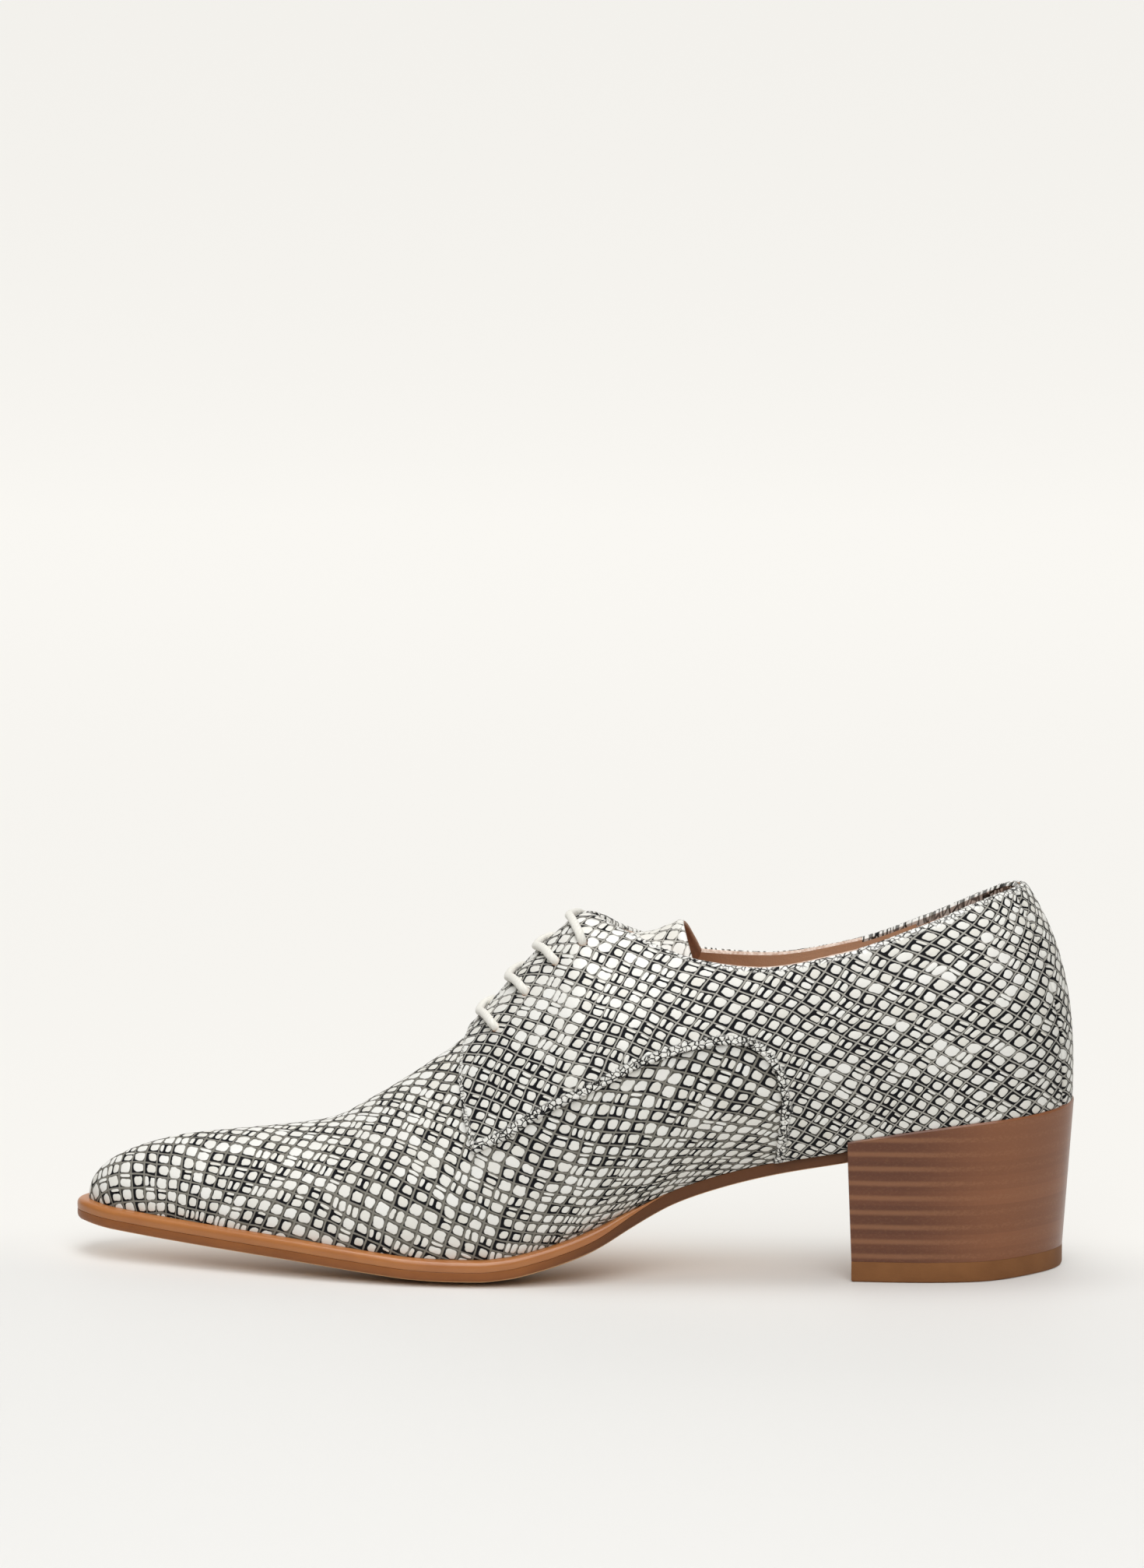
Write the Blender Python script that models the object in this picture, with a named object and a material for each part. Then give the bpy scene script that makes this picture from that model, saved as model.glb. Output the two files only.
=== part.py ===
# Right shoe of a pair of heeled derbies: pointed toe, lace closure, stacked block heel.
# The toe points along -X, the medial (inner) side faces -Y, and the floor is the plane Z = 0.
# Tables and sizes are in millimetres. "along" is the distance forward from the back of the heel.

import math

import bmesh
import bpy
import numpy as np

MM = 0.001
GAP = 0.3  # clearance between pieces that meet
OVERLAY_GAP = 0.45  # clearance under the quarters and the back strip

# Driving dimensions
LENGTH = 270.0  # heel back to welt tip
WELT_MARGIN = 3.2  # how far welt and outsole stand out past the upper in the forepart
TOE_TIP = LENGTH - WELT_MARGIN  # feather line at the tip of the last
HEEL_BACK = 2.2  # feather line at the back of the last
STRIP_EDGE_FOOT = HEEL_BACK + 2.0  # edge of the back strip, at the heel and at the collar
STRIP_EDGE_TOP = HEEL_BACK + 5.6
STRIP_SHARE = 0.96  # the strip stops just short of the quarters
FACING_CORNER = 131.0  # where collar and facing meet
THROAT_END = 164.0
HEEL_BREAST = 60.1
HEEL_BREAST_FOOT = 58.9
HEEL_TAPER = 2.8
HEEL_CORNER_TAPER = 2.6  # more at the rear corners of its base
HEEL_RIM_RISE = 3.4  # the heel cups the upper this far above the feather line
HEEL_RIM_PROUD = 2.2
LIFT_THICKNESS = 5.6
WALL = 1.3  # upper leather with its lining
OVERLAY = 1.1  # quarter leather on top of it
STRIP = 1.3  # back strip, a little thicker than the quarters it meets
WELT_THICKNESS = 2.8
WELT_END = 108.0
WELT_TAPER = 24.0  # length over which it runs out
WELT_INNER_MARGIN = 8.0
OUTSOLE_THICKNESS = 4.0
SEAT_THICKNESS = 3.2
INSOLE_THICKNESS = 2.4
INSOLE_MARGIN = 3.0
TONGUE_THICKNESS = 1.7
TONGUE_CLEARANCE = 0.9
TONGUE_END_BOW = (2.2, 2.4)  # its medial and lateral corners sweep back towards the heel
TONGUE_END_DROP = 5.5  # and hang lower than the last there
TONGUE_END_WIDTH = 16.2
TONGUE_BOW_FADE = (126.0, 107.0)
LACE_DIAMETER = 2.3
LACE_HOLE_REACH = 16.4  # distance of the lace holes from the centre line
LACE_LIFT = 0.35  # clearance over the facings
LACE_BOW = 1.1  # the bars run up to the ridge and turn square across it
TOE_DRIFT = -1.5  # the toe tip lies a little to the medial side
TOE_FALL = 0.19  # slope of the ridge where the toe profiles run into it
SPINE_HEEL = 28.0  # the profiles fan out round the ends of a spine
SPINE_TOE = 26.0


def table(names, *rows):
    """Named columns of a short table."""
    return dict(zip(names.split(), np.array(rows, float).T))


# Height of the last's bottom, with the flat tread under the ball
BOTTOM = table(
    "along height",
    (0, 42.6),
    (20, 41.4),
    (40, 38.9),
    (61, 35.2),
    (80, 31.6),
    (100, 26.4),
    (118, 19.2),
    (126, 15.4),
    (135, 11.9),
    (143, 9.5),
    (150, 7.9),
    (158, 7.1),
    (168, 7.1),
    (176, 7.35),
    (184, 8.05),
    (194, 9.0),
    (210, 10.4),
    (230, 11.8),
    (250, 13.3),
    (267, 14.8),
)

# Half widths of the feather line; both ends are rounded off by feather_width
FEATHER = table(
    "along medial lateral",
    (0, 24.2, 24.2),
    (24, 24.7, 24.9),
    (40, 25.4, 25.8),
    (61, 24.2, 26.2),
    (85, 22.4, 27.2),
    (103, 23.8, 29.2),
    (118, 27.8, 31.6),
    (135, 32.8, 34.2),
    (150, 35.6, 35.8),
    (163, 36.3, 36.2),
    (178, 35.0, 34.8),
    (194, 31.6, 31.4),
    (210, 26.8, 26.8),
    (226, 21.2, 21.4),
    (242, 15.4, 15.8),
    (267, 6.0, 6.4),
)
HEEL_ROUND = 26.0
TOE_ROUND = 9.0

# Upper edge of the wall: collar from the back to 131, facings to 157, closed ridge from 164.
# reach is its distance from the spine, roll the slope at which the wall arrives there.
TOP = table(
    "along reach_medial reach_lateral height_medial height_lateral roll",
    (0, 12.6, 12.6, 104.2, 104.2, 55),
    (12, 14.2, 14.2, 103.4, 101.8, 58),
    (24, 17.2, 17.2, 101.3, 97.8, 64),
    (40, 21.2, 21.4, 96.2, 91.0, 70),
    (61, 25.0, 25.4, 89.4, 83.0, 73),
    (84, 25.0, 26.0, 85.1, 79.2, 68),
    (100, 21.4, 22.8, 86.2, 80.6, 52),
    (112, 15.8, 16.6, 89.0, 84.2, 36),
    (122, 9.8, 10.0, 92.0, 88.4, 20),
    (131, 4.6, 4.6, 94.6, 92.8, 9),
    (140, 3.4, 3.4, 87.6, 86.6, 7),
    (150, 3.2, 3.2, 76.6, 76.2, 6),
    (157, 2.6, 2.6, 67.8, 67.8, 5),
    (164, 0, 0, 60.4, 60.4, 0),
    (175, 0, 0, 52.2, 52.2, 0),
    (189, 0, 0, 43.2, 43.2, 0),
    (201, 0, 0, 37.0, 37.0, 0),
    (212, 0, 0, 35.2, 35.2, 0),
    (225, 0, 0, 34.1, 34.1, 0),
    (240, 0, 0, 33.2, 33.2, 0),
    (267, 0, 0, 32.2, 32.2, 0),
)

# Direction in which the wall leaves the feather line, in degrees above the outward
# horizontal, and the fullness of its lower and upper halves
WALL_SHAPE = table(
    "along lean_medial lean_lateral low high",
    (0, 88, 88, 0.45, 0.30),
    (24, 76, 78, 0.42, 0.30),
    (40, 69, 73, 0.40, 0.30),
    (61, 56, 66, 0.38, 0.31),
    (85, 48, 60, 0.37, 0.33),
    (103, 48, 60, 0.37, 0.33),
    (120, 57, 66, 0.37, 0.30),
    (140, 71, 74, 0.37, 0.28),
    (163, 80, 80, 0.38, 0.27),
    (185, 86, 86, 0.40, 0.31),
    (210, 90, 90, 0.42, 0.35),
    (240, 91, 91, 0.39, 0.38),
    (267, 88, 88, 0.32, 0.45),
)

# Lower edge of the quarters, by column of the quarter's own grid: it rises from the front
# corner to a crest and drops to the sole behind the vamp's wing
SEAM = table(
    "column height",
    (162, 34.4),
    (154, 37.6),
    (144, 44.3),
    (134, 49.9),
    (126, 53.8),
    (117, 58.4),
    (109, 61.5),
    (100, 64.0),
    (93, 65.3),
    (88, 65.2),
    (84.2, 63.6),
    (81, 60.6),
    (78.8, 56.2),
    (77.6, 50.4),
    (76.8, 45.0),
    (75.9, 39.4),
    (74.6, 34.2),
)
SEAM_FRONT = 162.0
SEAM_REAR = 74.6
FRONT_BOW = (-2.5, 16.0, -13.5)  # the facing's front edge, bowed forward as a parabola
FRONT_BOW_FADE = 22.0
REAR_BOW = 5.6  # the seam runs forward again on its way down to the sole
REAR_BOW_TOP = 0.36
REAR_BOW_FADE = 14.0  # ahead of the seam
REAR_BOW_FADE_BEHIND = 5.0

# Tongue: half width, and height of the instep's centre line that it lies under. Behind the
# facings it dips and then curls up to its end.
TONGUE = table(
    "along half_width crown",
    (105.5, 15.6, 95.3),
    (107, 16.9, 95.1),
    (109.5, 17.5, 94.1),
    (115, 17.9, 91.9),
    (121, 18.0, 91.3),
    (128, 17.5, 92.3),
    (134, 17.0, 91.8),
    (140, 16.5, 87.8),
    (150, 15.5, 76.8),
    (158, 14.5, 66.8),
    (170, 13.5, 55.7),
)

# Lace bars: place of the holes and of the crossing over the instep
LACE = table(
    "hole crossing",
    (153.6, 158.4),
    (145.6, 150.6),
    (137.6, 143.2),
    (131.2, 134.4),
)

# Grid sizes
UPPER_STATIONS = 54
UPPER_ROWS = 10
QUARTER_ROWS = 8
STRIP_COLUMNS = 8
SOLE_STATIONS = 46
LACE_STEPS = 14

COLOURS = {
    "embossed_leather": ((0.62, 0.62, 0.59), 0.35),
    "lining_leather": ((0.50, 0.25, 0.14), 0.60),
    "welt_leather": ((0.46, 0.19, 0.07), 0.38),
    "outsole_leather": ((0.40, 0.17, 0.07), 0.45),
    "stacked_leather": ((0.29, 0.12, 0.06), 0.42),
    "lift_rubber": ((0.25, 0.11, 0.05), 0.55),
    "lace_cord": ((0.84, 0.83, 0.78), 0.70),
}


def smooth(at, xs, ys):
    """Monotone cubic through the points (xs, ys), so a level stretch stays level."""
    order = np.argsort(xs)
    xs, ys = np.asarray(xs)[order], np.asarray(ys)[order]
    step = np.diff(xs)
    slope = np.diff(ys) / step
    tangent = np.zeros_like(ys)
    same = slope[:-1] * slope[1:] > 0
    before, after = 2 * step[1:] + step[:-1], step[1:] + 2 * step[:-1]
    inner = np.zeros_like(slope[1:])
    inner[same] = (before + after)[same] / (
        before[same] / slope[:-1][same] + after[same] / slope[1:][same]
    )
    tangent[1:-1] = inner
    tangent[0], tangent[-1] = slope[0], slope[-1]
    at = np.clip(at, xs[0], xs[-1])
    k = np.clip(np.searchsorted(xs, at) - 1, 0, len(step) - 1)
    t = (at - xs[k]) / step[k]
    rise = (3 - 2 * t) * t * t
    bend = t * (1 - t)
    return (
        ys[k]
        + (ys[k + 1] - ys[k]) * rise
        + step[k] * bend * ((1 - t) * tangent[k] - t * tangent[k + 1])
    )


def read(source, column, at):
    keys = next(iter(source.values()))
    return smooth(at, keys, source[column])


def by_side(source, column, at, side):
    return np.where(
        side < 0,
        read(source, column + "_medial", at),
        read(source, column + "_lateral", at),
    )


def bottom_height(along):
    return read(BOTTOM, "height", along)


def axis_drift(along):
    """Sideways place of the spine, which bends to the medial side at the toe."""
    t = np.clip((along - 170) / (TOE_TIP - 170), 0, 1)
    return TOE_DRIFT * t * t * (3 - 2 * t)


def feather_width(along, side):
    """Half width of the last's bottom edge, rounded at heel and toe."""
    half = np.where(
        side < 0, read(FEATHER, "medial", along), read(FEATHER, "lateral", along)
    )
    heel = np.clip((along - HEEL_BACK) / HEEL_ROUND, 0, 1)
    toe = np.clip((TOE_TIP - along) / TOE_ROUND, 0, 1)
    return half * np.sqrt(1 - (1 - heel) ** 2) * np.sqrt(1 - (1 - toe) ** 2)


def spine_place(along):
    """Foot of each wall profile on the spine: level in the middle, held back at both ends."""
    heel = SPINE_HEEL + along**2 / (4 * SPINE_HEEL)
    left = TOE_TIP - along
    toe = TOE_TIP - SPINE_TOE - left**2 / (4 * SPINE_TOE)
    place = np.where(along < 2 * SPINE_HEEL, heel, along)
    return np.where(left < 2 * SPINE_TOE, toe, place)


def stacked(*parts):
    return np.stack(np.broadcast_arrays(*parts), axis=-1)


def wall_frame(along, side):
    """Feather point, spine point and outward direction of the wall profile."""
    along, side = np.broadcast_arrays(
        np.asarray(along, float), np.asarray(side, float)
    )
    foot = stacked(
        along,
        axis_drift(along) + side * feather_width(along, side),
        bottom_height(along),
    )
    place = spine_place(along)
    spine = stacked(place, axis_drift(place))
    outward = foot[..., :2] - spine
    outward = outward / np.linalg.norm(outward, axis=-1, keepdims=True)
    return foot, spine, outward


def last_surface(along, side, q, crown=None):
    """Outer face of the upper: q runs from the feather line (0) to the top edge (1).

    With a crown height the instep is carried across the throat to the centre line instead.
    """
    along, side, q = np.broadcast_arrays(
        np.asarray(along, float), np.asarray(side, float), np.asarray(q, float)
    )
    foot, spine, outward = wall_frame(along, side)
    reach = by_side(TOP, "reach", along, side)
    height = by_side(TOP, "height", along, side)
    roll = np.radians(read(TOP, "roll", along))
    if crown is not None:
        reach, roll = reach * 0, roll * 0
        height = np.broadcast_to(crown, along.shape)
    lean = np.radians(by_side(WALL_SHAPE, "lean", along, side))
    top = np.concatenate([spine + outward * reach[..., None], height[..., None]], -1)
    span = np.linalg.norm(top - foot, axis=-1)
    leave = stacked(
        outward[..., 0] * np.cos(lean), outward[..., 1] * np.cos(lean), np.sin(lean)
    )
    fall = TOE_FALL * np.clip(outward[..., 0], 0, 1)
    arrive = stacked(
        -outward[..., 0] * np.cos(roll),
        -outward[..., 1] * np.cos(roll),
        np.sin(roll) + fall,
    )
    low = (read(WALL_SHAPE, "low", along) * span)[..., None]
    high = (read(WALL_SHAPE, "high", along) * span)[..., None]
    q = q[..., None]
    return (
        foot * (1 - q) ** 3
        + (foot + leave * low) * 3 * q * (1 - q) ** 2
        + (top - arrive * high) * 3 * q * q * (1 - q)
        + top * q**3
    )


def offset_surface(along, side, q, distance):
    """last_surface moved out along its own normal."""
    step_along, step_q = 0.4, 0.004
    along, side, q, distance = np.broadcast_arrays(
        *(np.asarray(x, float) for x in (along, side, q, distance))
    )
    ahead = np.minimum(along + step_along, TOE_TIP)
    behind = np.maximum(along - step_along, HEEL_BACK)
    above, below = np.minimum(q + step_q, 1), np.maximum(q - step_q, 0)
    run = last_surface(ahead, side, q) - last_surface(behind, side, q)
    # at the very tip and heel the two sides meet, and the surface runs straight across
    across = np.where(along > LENGTH / 2, -side, side)
    at_end = (along > TOE_TIP - step_along) | (along < HEEL_BACK + step_along)
    run = np.where(at_end[..., None], stacked(0.0, across, 0.0), run)
    rise = last_surface(along, side, above) - last_surface(along, side, below)
    normal = np.cross(run, rise)
    normal = normal / np.linalg.norm(normal, axis=-1, keepdims=True)
    return last_surface(along, side, q) - normal * (side * distance)[..., None]


def q_at_height(along, side, height):
    """Where on each wall profile the outer face reaches this height."""
    grid = np.linspace(0, 1, 60)
    found = [
        np.interp(h, last_surface(a, s, grid)[:, 2], grid)
        for a, s, h in zip(
            *(np.ravel(x) for x in np.broadcast_arrays(along, side, height))
        )
    ]
    return np.array(found).reshape(np.broadcast(along, side, height).shape)


def q_at_width(along, side, half_width):
    """Where near the top of each profile the outer face is this far from the centre line."""
    grid = np.linspace(1, 0.3, 80)
    found = [
        np.interp(w, np.abs(last_surface(a, s, grid)[:, 1] - axis_drift(a)), grid)
        for a, s, w in zip(
            *(np.ravel(x) for x in np.broadcast_arrays(along, side, half_width))
        )
    ]
    return np.array(found).reshape(np.broadcast(along, side, half_width).shape)


def stations(count, start=HEEL_BACK, end=TOE_TIP, turn_weight=9.0):
    """Places along the feather line, closer together where it turns sharply."""
    bend = np.linspace(0, math.pi, 4001)
    along = start + (end - start) * (1 - np.cos(bend)) / 2
    line = stacked(along, feather_width(along, np.array(-1.0)))
    step = np.diff(line, axis=0)
    turn = np.abs(np.diff(np.unwrap(np.arctan2(step[:, 1], step[:, 0]))))
    cost = np.linalg.norm(step, axis=1)
    cost[1:] += turn_weight * turn
    cost = np.concatenate([[0], np.cumsum(cost)])
    return np.interp(np.linspace(0, cost[-1], count), cost, along)


class Solid:
    """Collects points and faces in millimetres and makes one named object of them."""

    def __init__(self):
        self.points = []
        self.faces = []

    def grid(self, points):
        """Adds an array of points, rows by columns by three, and gives back their numbers."""
        start = len(self.points)
        points = np.asarray(points, float)
        self.points.extend(points.reshape(-1, 3))
        return start + np.arange(points.size // 3).reshape(points.shape[:-1])

    def skin(self, numbers):
        """Faces between the neighbouring rows and columns of a grid of point numbers."""
        for a, b in zip(numbers[:-1], numbers[1:]):
            for k in range(len(a) - 1):
                self.face(a[k], a[k + 1], b[k + 1], b[k])

    def face(self, *corners):
        kept = [c for n, c in enumerate(corners) if c != corners[n - 1]]
        if len(kept) > 2:
            self.faces.append(kept)

    def make(self, name, material, sharp_angle=40):
        points = np.array(self.points)
        points = stacked(LENGTH / 2 - points[:, 0], points[:, 1], points[:, 2]) * MM
        mesh = bpy.data.meshes.new(name)
        mesh.from_pydata(
            points.tolist(), [], [[int(c) for c in f] for f in self.faces]
        )
        work = bmesh.new()
        work.from_mesh(mesh)
        bmesh.ops.remove_doubles(work, verts=work.verts, dist=0.005 * MM)
        bmesh.ops.recalc_face_normals(work, faces=work.faces)
        work.to_mesh(mesh)
        work.free()
        mesh.shade_smooth()
        mesh.set_sharp_from_angle(angle=math.radians(sharp_angle))
        mesh.materials.append(material)
        made = bpy.data.objects.new(name, mesh)
        bpy.context.scene.collection.objects.link(made)
        return made


def shell(outer, inner):
    """Closed solid between two grids of the same size, with a rim round the edge."""
    solid = Solid()
    out, back = solid.grid(outer), solid.grid(inner)
    solid.skin(out)
    solid.skin(back[::-1])
    for edge_out, edge_back in (
        (out[0], back[0]),
        (out[-1], back[-1]),
        (out[:, 0], back[:, 0]),
        (out[:, -1], back[:, -1]),
    ):
        solid.skin([edge_out, edge_back])
    return solid


def make_material(name):
    colour, roughness = COLOURS[name]
    material = bpy.data.materials.new(name)
    material.use_nodes = True
    shader = material.node_tree.nodes["Principled BSDF"]
    shader.inputs["Base Color"].default_value = (*colour, 1)
    shader.inputs["Roughness"].default_value = roughness
    shader.inputs["Metallic"].default_value = 0
    return material


def make_upper(material):
    """Vamp, quarters' lining and collar in one wall, open below, at the collar and throat."""
    along = stations(UPPER_STATIONS)
    for corner in (FACING_CORNER, THROAT_END):
        along[np.abs(along - corner).argmin()] = corner
    rows = np.linspace(0, 1, UPPER_ROWS + 1)
    solid = Solid()
    faces = {}
    for face_name, distance in (("outer", 0.0), ("inner", -WALL)):
        for side in (-1, 1):
            points = offset_surface(
                along[:, None], np.full((1, 1), side), rows[None, :], distance
            )
            if side > 0:
                # the two sides share the profiles at the heel and the tip, and the ridge
                medial = np.array(solid.points)[faces[face_name, -1]]
                closed_ridge = by_side(TOP, "reach", along, np.array(side)) < 0.01
                points[0], points[-1] = medial[0], medial[-1]
                points[closed_ridge, -1] = medial[closed_ridge, -1]
            faces[face_name, side] = solid.grid(points)
    for side in (-1, 1):
        outer, inner = faces["outer", side], faces["inner", side]
        solid.skin(outer)
        solid.skin(inner[::-1])
        solid.skin([outer[:, 0], inner[:, 0]])
        open_top = by_side(TOP, "reach", along, np.array(side)) >= 0.01
        last_open = np.flatnonzero(open_top)[-1] + 1
        solid.skin([outer[: last_open + 1, -1], inner[: last_open + 1, -1]])
    return solid.make("upper", material)


def quarter_along(column, q):
    """Bends the columns of the quarter's grid to its front edge, seam and back strip."""
    top_share = np.clip((q - q.min(axis=1, keepdims=True)), 0, 1)
    top_share = top_share / np.ptp(q, axis=1, keepdims=True)
    a, b, c = FRONT_BOW
    front = (a + b * top_share + c * top_share**2) * np.exp(
        -(((SEAM_FRONT - column) / FRONT_BOW_FADE) ** 2)
    )
    rear = REAR_BOW * np.clip(1 - q / REAR_BOW_TOP, 0, 1) ** 1.2
    fade = np.where(column > SEAM_REAR, REAR_BOW_FADE, REAR_BOW_FADE_BEHIND)
    rear = rear * np.exp(-(((column - SEAM_REAR) / fade) ** 2))
    back = (STRIP_EDGE_TOP - STRIP_EDGE_FOOT) * q
    back = back * np.exp(-(((column - STRIP_EDGE_FOOT) / 12.0) ** 2))
    return column + front + rear + back


def quarter_foot(column, side):
    """Height of the quarter's lower edge: the seam, then the sole, then the heel's rim."""
    seam = read(SEAM, "height", column)
    floor = bottom_height(column) + 1.0
    rim = bottom_height(column) + HEEL_RIM_RISE + GAP + 0.7
    low = np.where(column < HEEL_BREAST + 1, rim, floor)
    return np.where(column > SEAM_REAR, seam, low)


def quarter_grid(side):
    columns = np.concatenate(
        [
            np.linspace(SEAM_FRONT, FACING_CORNER, 8)[:-1],
            np.linspace(FACING_CORNER, 84.0, 10),
            (82.4, 80.4, 78.8, 77.6, 76.8, 75.9, SEAM_REAR, 69.5),
            (HEEL_BREAST + 1.1, HEEL_BREAST + 0.5, 57.0, 51.0, 44.0, 37.0, 30.0),
            (24.0, 18.5, 13.8, 9.8, 6.6, STRIP_EDGE_FOOT),
        ]
    )
    foot = q_at_height(columns, np.full_like(columns, side), quarter_foot(columns, side))
    share = np.linspace(0, 1, QUARTER_ROWS + 1)
    q = foot[:, None] + (1 - foot[:, None]) * share[None, :]
    return quarter_along(columns[:, None], q), q


def make_quarter(side, name, material):
    """Quarter with its facing, laid over the vamp and ending at the back strip."""
    along, q = quarter_grid(side)
    sides = np.full_like(along, side)
    outer = offset_surface(along, sides, q, OVERLAY_GAP + OVERLAY)
    inner = offset_surface(along, sides, q, OVERLAY_GAP)
    return shell(outer, inner).make(name, material)


def make_back_strip(material):
    """Strip over the seam at the back of the heel, from the rim to the collar."""
    share = np.linspace(0, 1, QUARTER_ROWS + 1)
    points = {}
    for distance in (OVERLAY_GAP + STRIP, OVERLAY_GAP):
        halves = []
        for side in (-1, 1):
            across = np.linspace(1, 0, STRIP_COLUMNS // 2 + 1)
            edge = np.array([STRIP_EDGE_FOOT])
            foot = q_at_height(edge, np.array([side]), quarter_foot(edge, side))[0]
            q = foot + (1 - foot) * share
            widest = STRIP_EDGE_FOOT + q * (STRIP_EDGE_TOP - STRIP_EDGE_FOOT)
            # equal steps round the heel need square-root steps along it
            along = HEEL_BACK + (widest[None, :] - HEEL_BACK) * (
                STRIP_SHARE * across[:, None]
            ) ** 2
            half = offset_surface(
                along, np.full_like(along, side), np.broadcast_to(q, along.shape), distance
            )
            halves.append(half)
        centre = (halves[0][-1] + halves[1][-1]) / 2
        points[distance] = np.concatenate(
            [halves[0][:-1], centre[None], halves[1][-2::-1]]
        )
    return shell(*points.values()).make("back_strip", material)


def tongue_section(along, half_width, crown, steps):
    """Arch of the instep at one place, as points with equal steps across the tongue."""
    across = np.linspace(-half_width, half_width, 2 * steps + 1)
    heights = []
    grid = np.linspace(1, 0.3, 80)
    for y in across:
        profile = last_surface(along, np.sign(y) or 1.0, grid, crown)
        heights.append(np.interp(abs(y), np.abs(profile[:, 1]), profile[:, 2]))
    start, end = TONGUE_BOW_FADE
    share = np.clip((start - along) / (start - end), 0, 1)
    corner = share * share * (3 - 2 * share) * (across / TONGUE_END_WIDTH) ** 2
    bow = np.where(across < 0, *TONGUE_END_BOW) * corner
    return stacked(along - bow, across, np.array(heights) - TONGUE_END_DROP * corner)


def make_tongue(material):
    """Arched sheet under the facings that rises out of the throat."""
    along = np.concatenate([TONGUE["along"][:3], np.linspace(111, TONGUE["along"][-1], 16)])
    middle = np.array(
        [
            tongue_section(a, read(TONGUE, "half_width", a), read(TONGUE, "crown", a), 6)
            for a in along
        ]
    )
    run = np.gradient(middle, axis=0)
    across = np.gradient(middle, axis=1)
    normal = np.cross(run, across)
    normal /= np.linalg.norm(normal, axis=-1, keepdims=True)
    outer = middle - normal * (WALL + TONGUE_CLEARANCE)
    inner = outer - normal * TONGUE_THICKNESS
    return shell(outer, inner).make("tongue", material)


def outline(along):
    """Feather line round the whole shoe with its outward normals, one row per side."""
    line = np.array([wall_frame(along, np.array(side))[0][:, :2] for side in (-1, 1)])
    loop = np.concatenate([line[0], line[1][-2:0:-1]])
    tangent = np.roll(loop, -1, axis=0) - np.roll(loop, 1, axis=0)
    tangent /= np.linalg.norm(tangent, axis=1, keepdims=True)
    normal = stacked(tangent[:, 1], -tangent[:, 0])
    count = len(along)
    medial = normal[:count]
    lateral = np.concatenate([normal[:1], normal[count:][::-1], normal[count - 1 : count]])
    return line, np.array([medial, lateral])


def welt_share(along):
    """1 in the forepart, falling to 0 where the welt runs out at the waist."""
    t = np.clip((along - WELT_END + 2) / WELT_TAPER, 0, 1)
    return t * t * (3 - 2 * t)


def sole_margin(along):
    return 0.2 + (WELT_MARGIN - 0.2) * welt_share(along)


def outsole_top(along):
    return bottom_height(along) - GAP - (WELT_THICKNESS + GAP) * welt_share(along)


def outsole_bottom(along):
    seat = np.clip((along - HEEL_BREAST) / 50, 0, 1)
    return outsole_top(along) - (
        SEAT_THICKNESS + (OUTSOLE_THICKNESS - GAP - SEAT_THICKNESS) * seat
    )


def raised(plan, height, lift=0.0):
    """Plan points at the height that the sole has there, plus lift."""
    return np.concatenate([plan, (height(plan[..., 0]) + lift)[..., None]], -1)


def make_outsole(material):
    """Full-length outsole: flat tread under the ball, arched waist, seat on the heel."""
    along = stations(SOLE_STATIONS)
    tread = np.array([x for x in BOTTOM["along"] if 150 < x < 180])
    along = np.unique(np.concatenate([along, tread]))
    line, normal = outline(along)
    solid = Solid()
    loops = []
    for out, height, lift in (
        (-0.5, outsole_top, 0.0),
        (0.0, outsole_top, -0.5),
        (-0.1, outsole_bottom, 1.2),
        (-1.2, outsole_bottom, 0.0),
    ):
        points = raised(
            line + normal * (sole_margin(along) + out)[None, :, None], height, lift
        )
        points[1, 0], points[1, -1] = points[0, 0], points[0, -1]
        loops.append(solid.grid(points))
    for upper, lower in zip(loops[:-1], loops[1:]):
        for side in (0, 1):
            solid.skin([upper[side], lower[side]])
    for cap in (loops[0], loops[-1]):
        solid.skin([cap[0], cap[1]])
    return solid.make("outsole", material)


def welt_base(along):
    return outsole_top(along) + GAP


def welt_crown(along):
    return bottom_height(along) - GAP


def make_welt(material):
    """Welt strip round the forepart, rounded on its upper edge and tapering at the waist."""
    along = stations(SOLE_STATIONS)
    along = np.concatenate([[WELT_END], along[along > WELT_END + 2]])
    line, normal = outline(along)
    share = welt_share(along)
    outer = sole_margin(along)
    inward = [-wall_frame(along, np.array(side))[2] for side in (-1, 1)]
    inner_line = line + np.array(inward) * WELT_INNER_MARGIN
    solid = Solid()
    profile = []
    for out, lift in ((-0.5, 0.0), (0.0, 0.22), (0.0, 0.55), (-0.5, 0.85), (-1.4, 1.0)):
        plan = line + normal * (outer + out * share)[None, :, None]
        foot, crown = raised(plan, welt_base), raised(plan, welt_crown)
        profile.append(foot + (crown - foot) * lift)
    profile += [raised(inner_line, welt_crown), raised(inner_line, welt_base)]
    rings = []
    for points in profile:
        points[1, -1] = points[0, -1]
        numbers = solid.grid(points)
        rings.append(np.concatenate([numbers[0], numbers[1][-2::-1]]))
    for a, b in zip(rings, rings[1:] + rings[:1]):
        solid.skin([a, b])
    solid.face(*[ring[0] for ring in rings])
    solid.face(*[ring[-1] for ring in rings[::-1]])
    return solid.make("welt", material)


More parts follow.
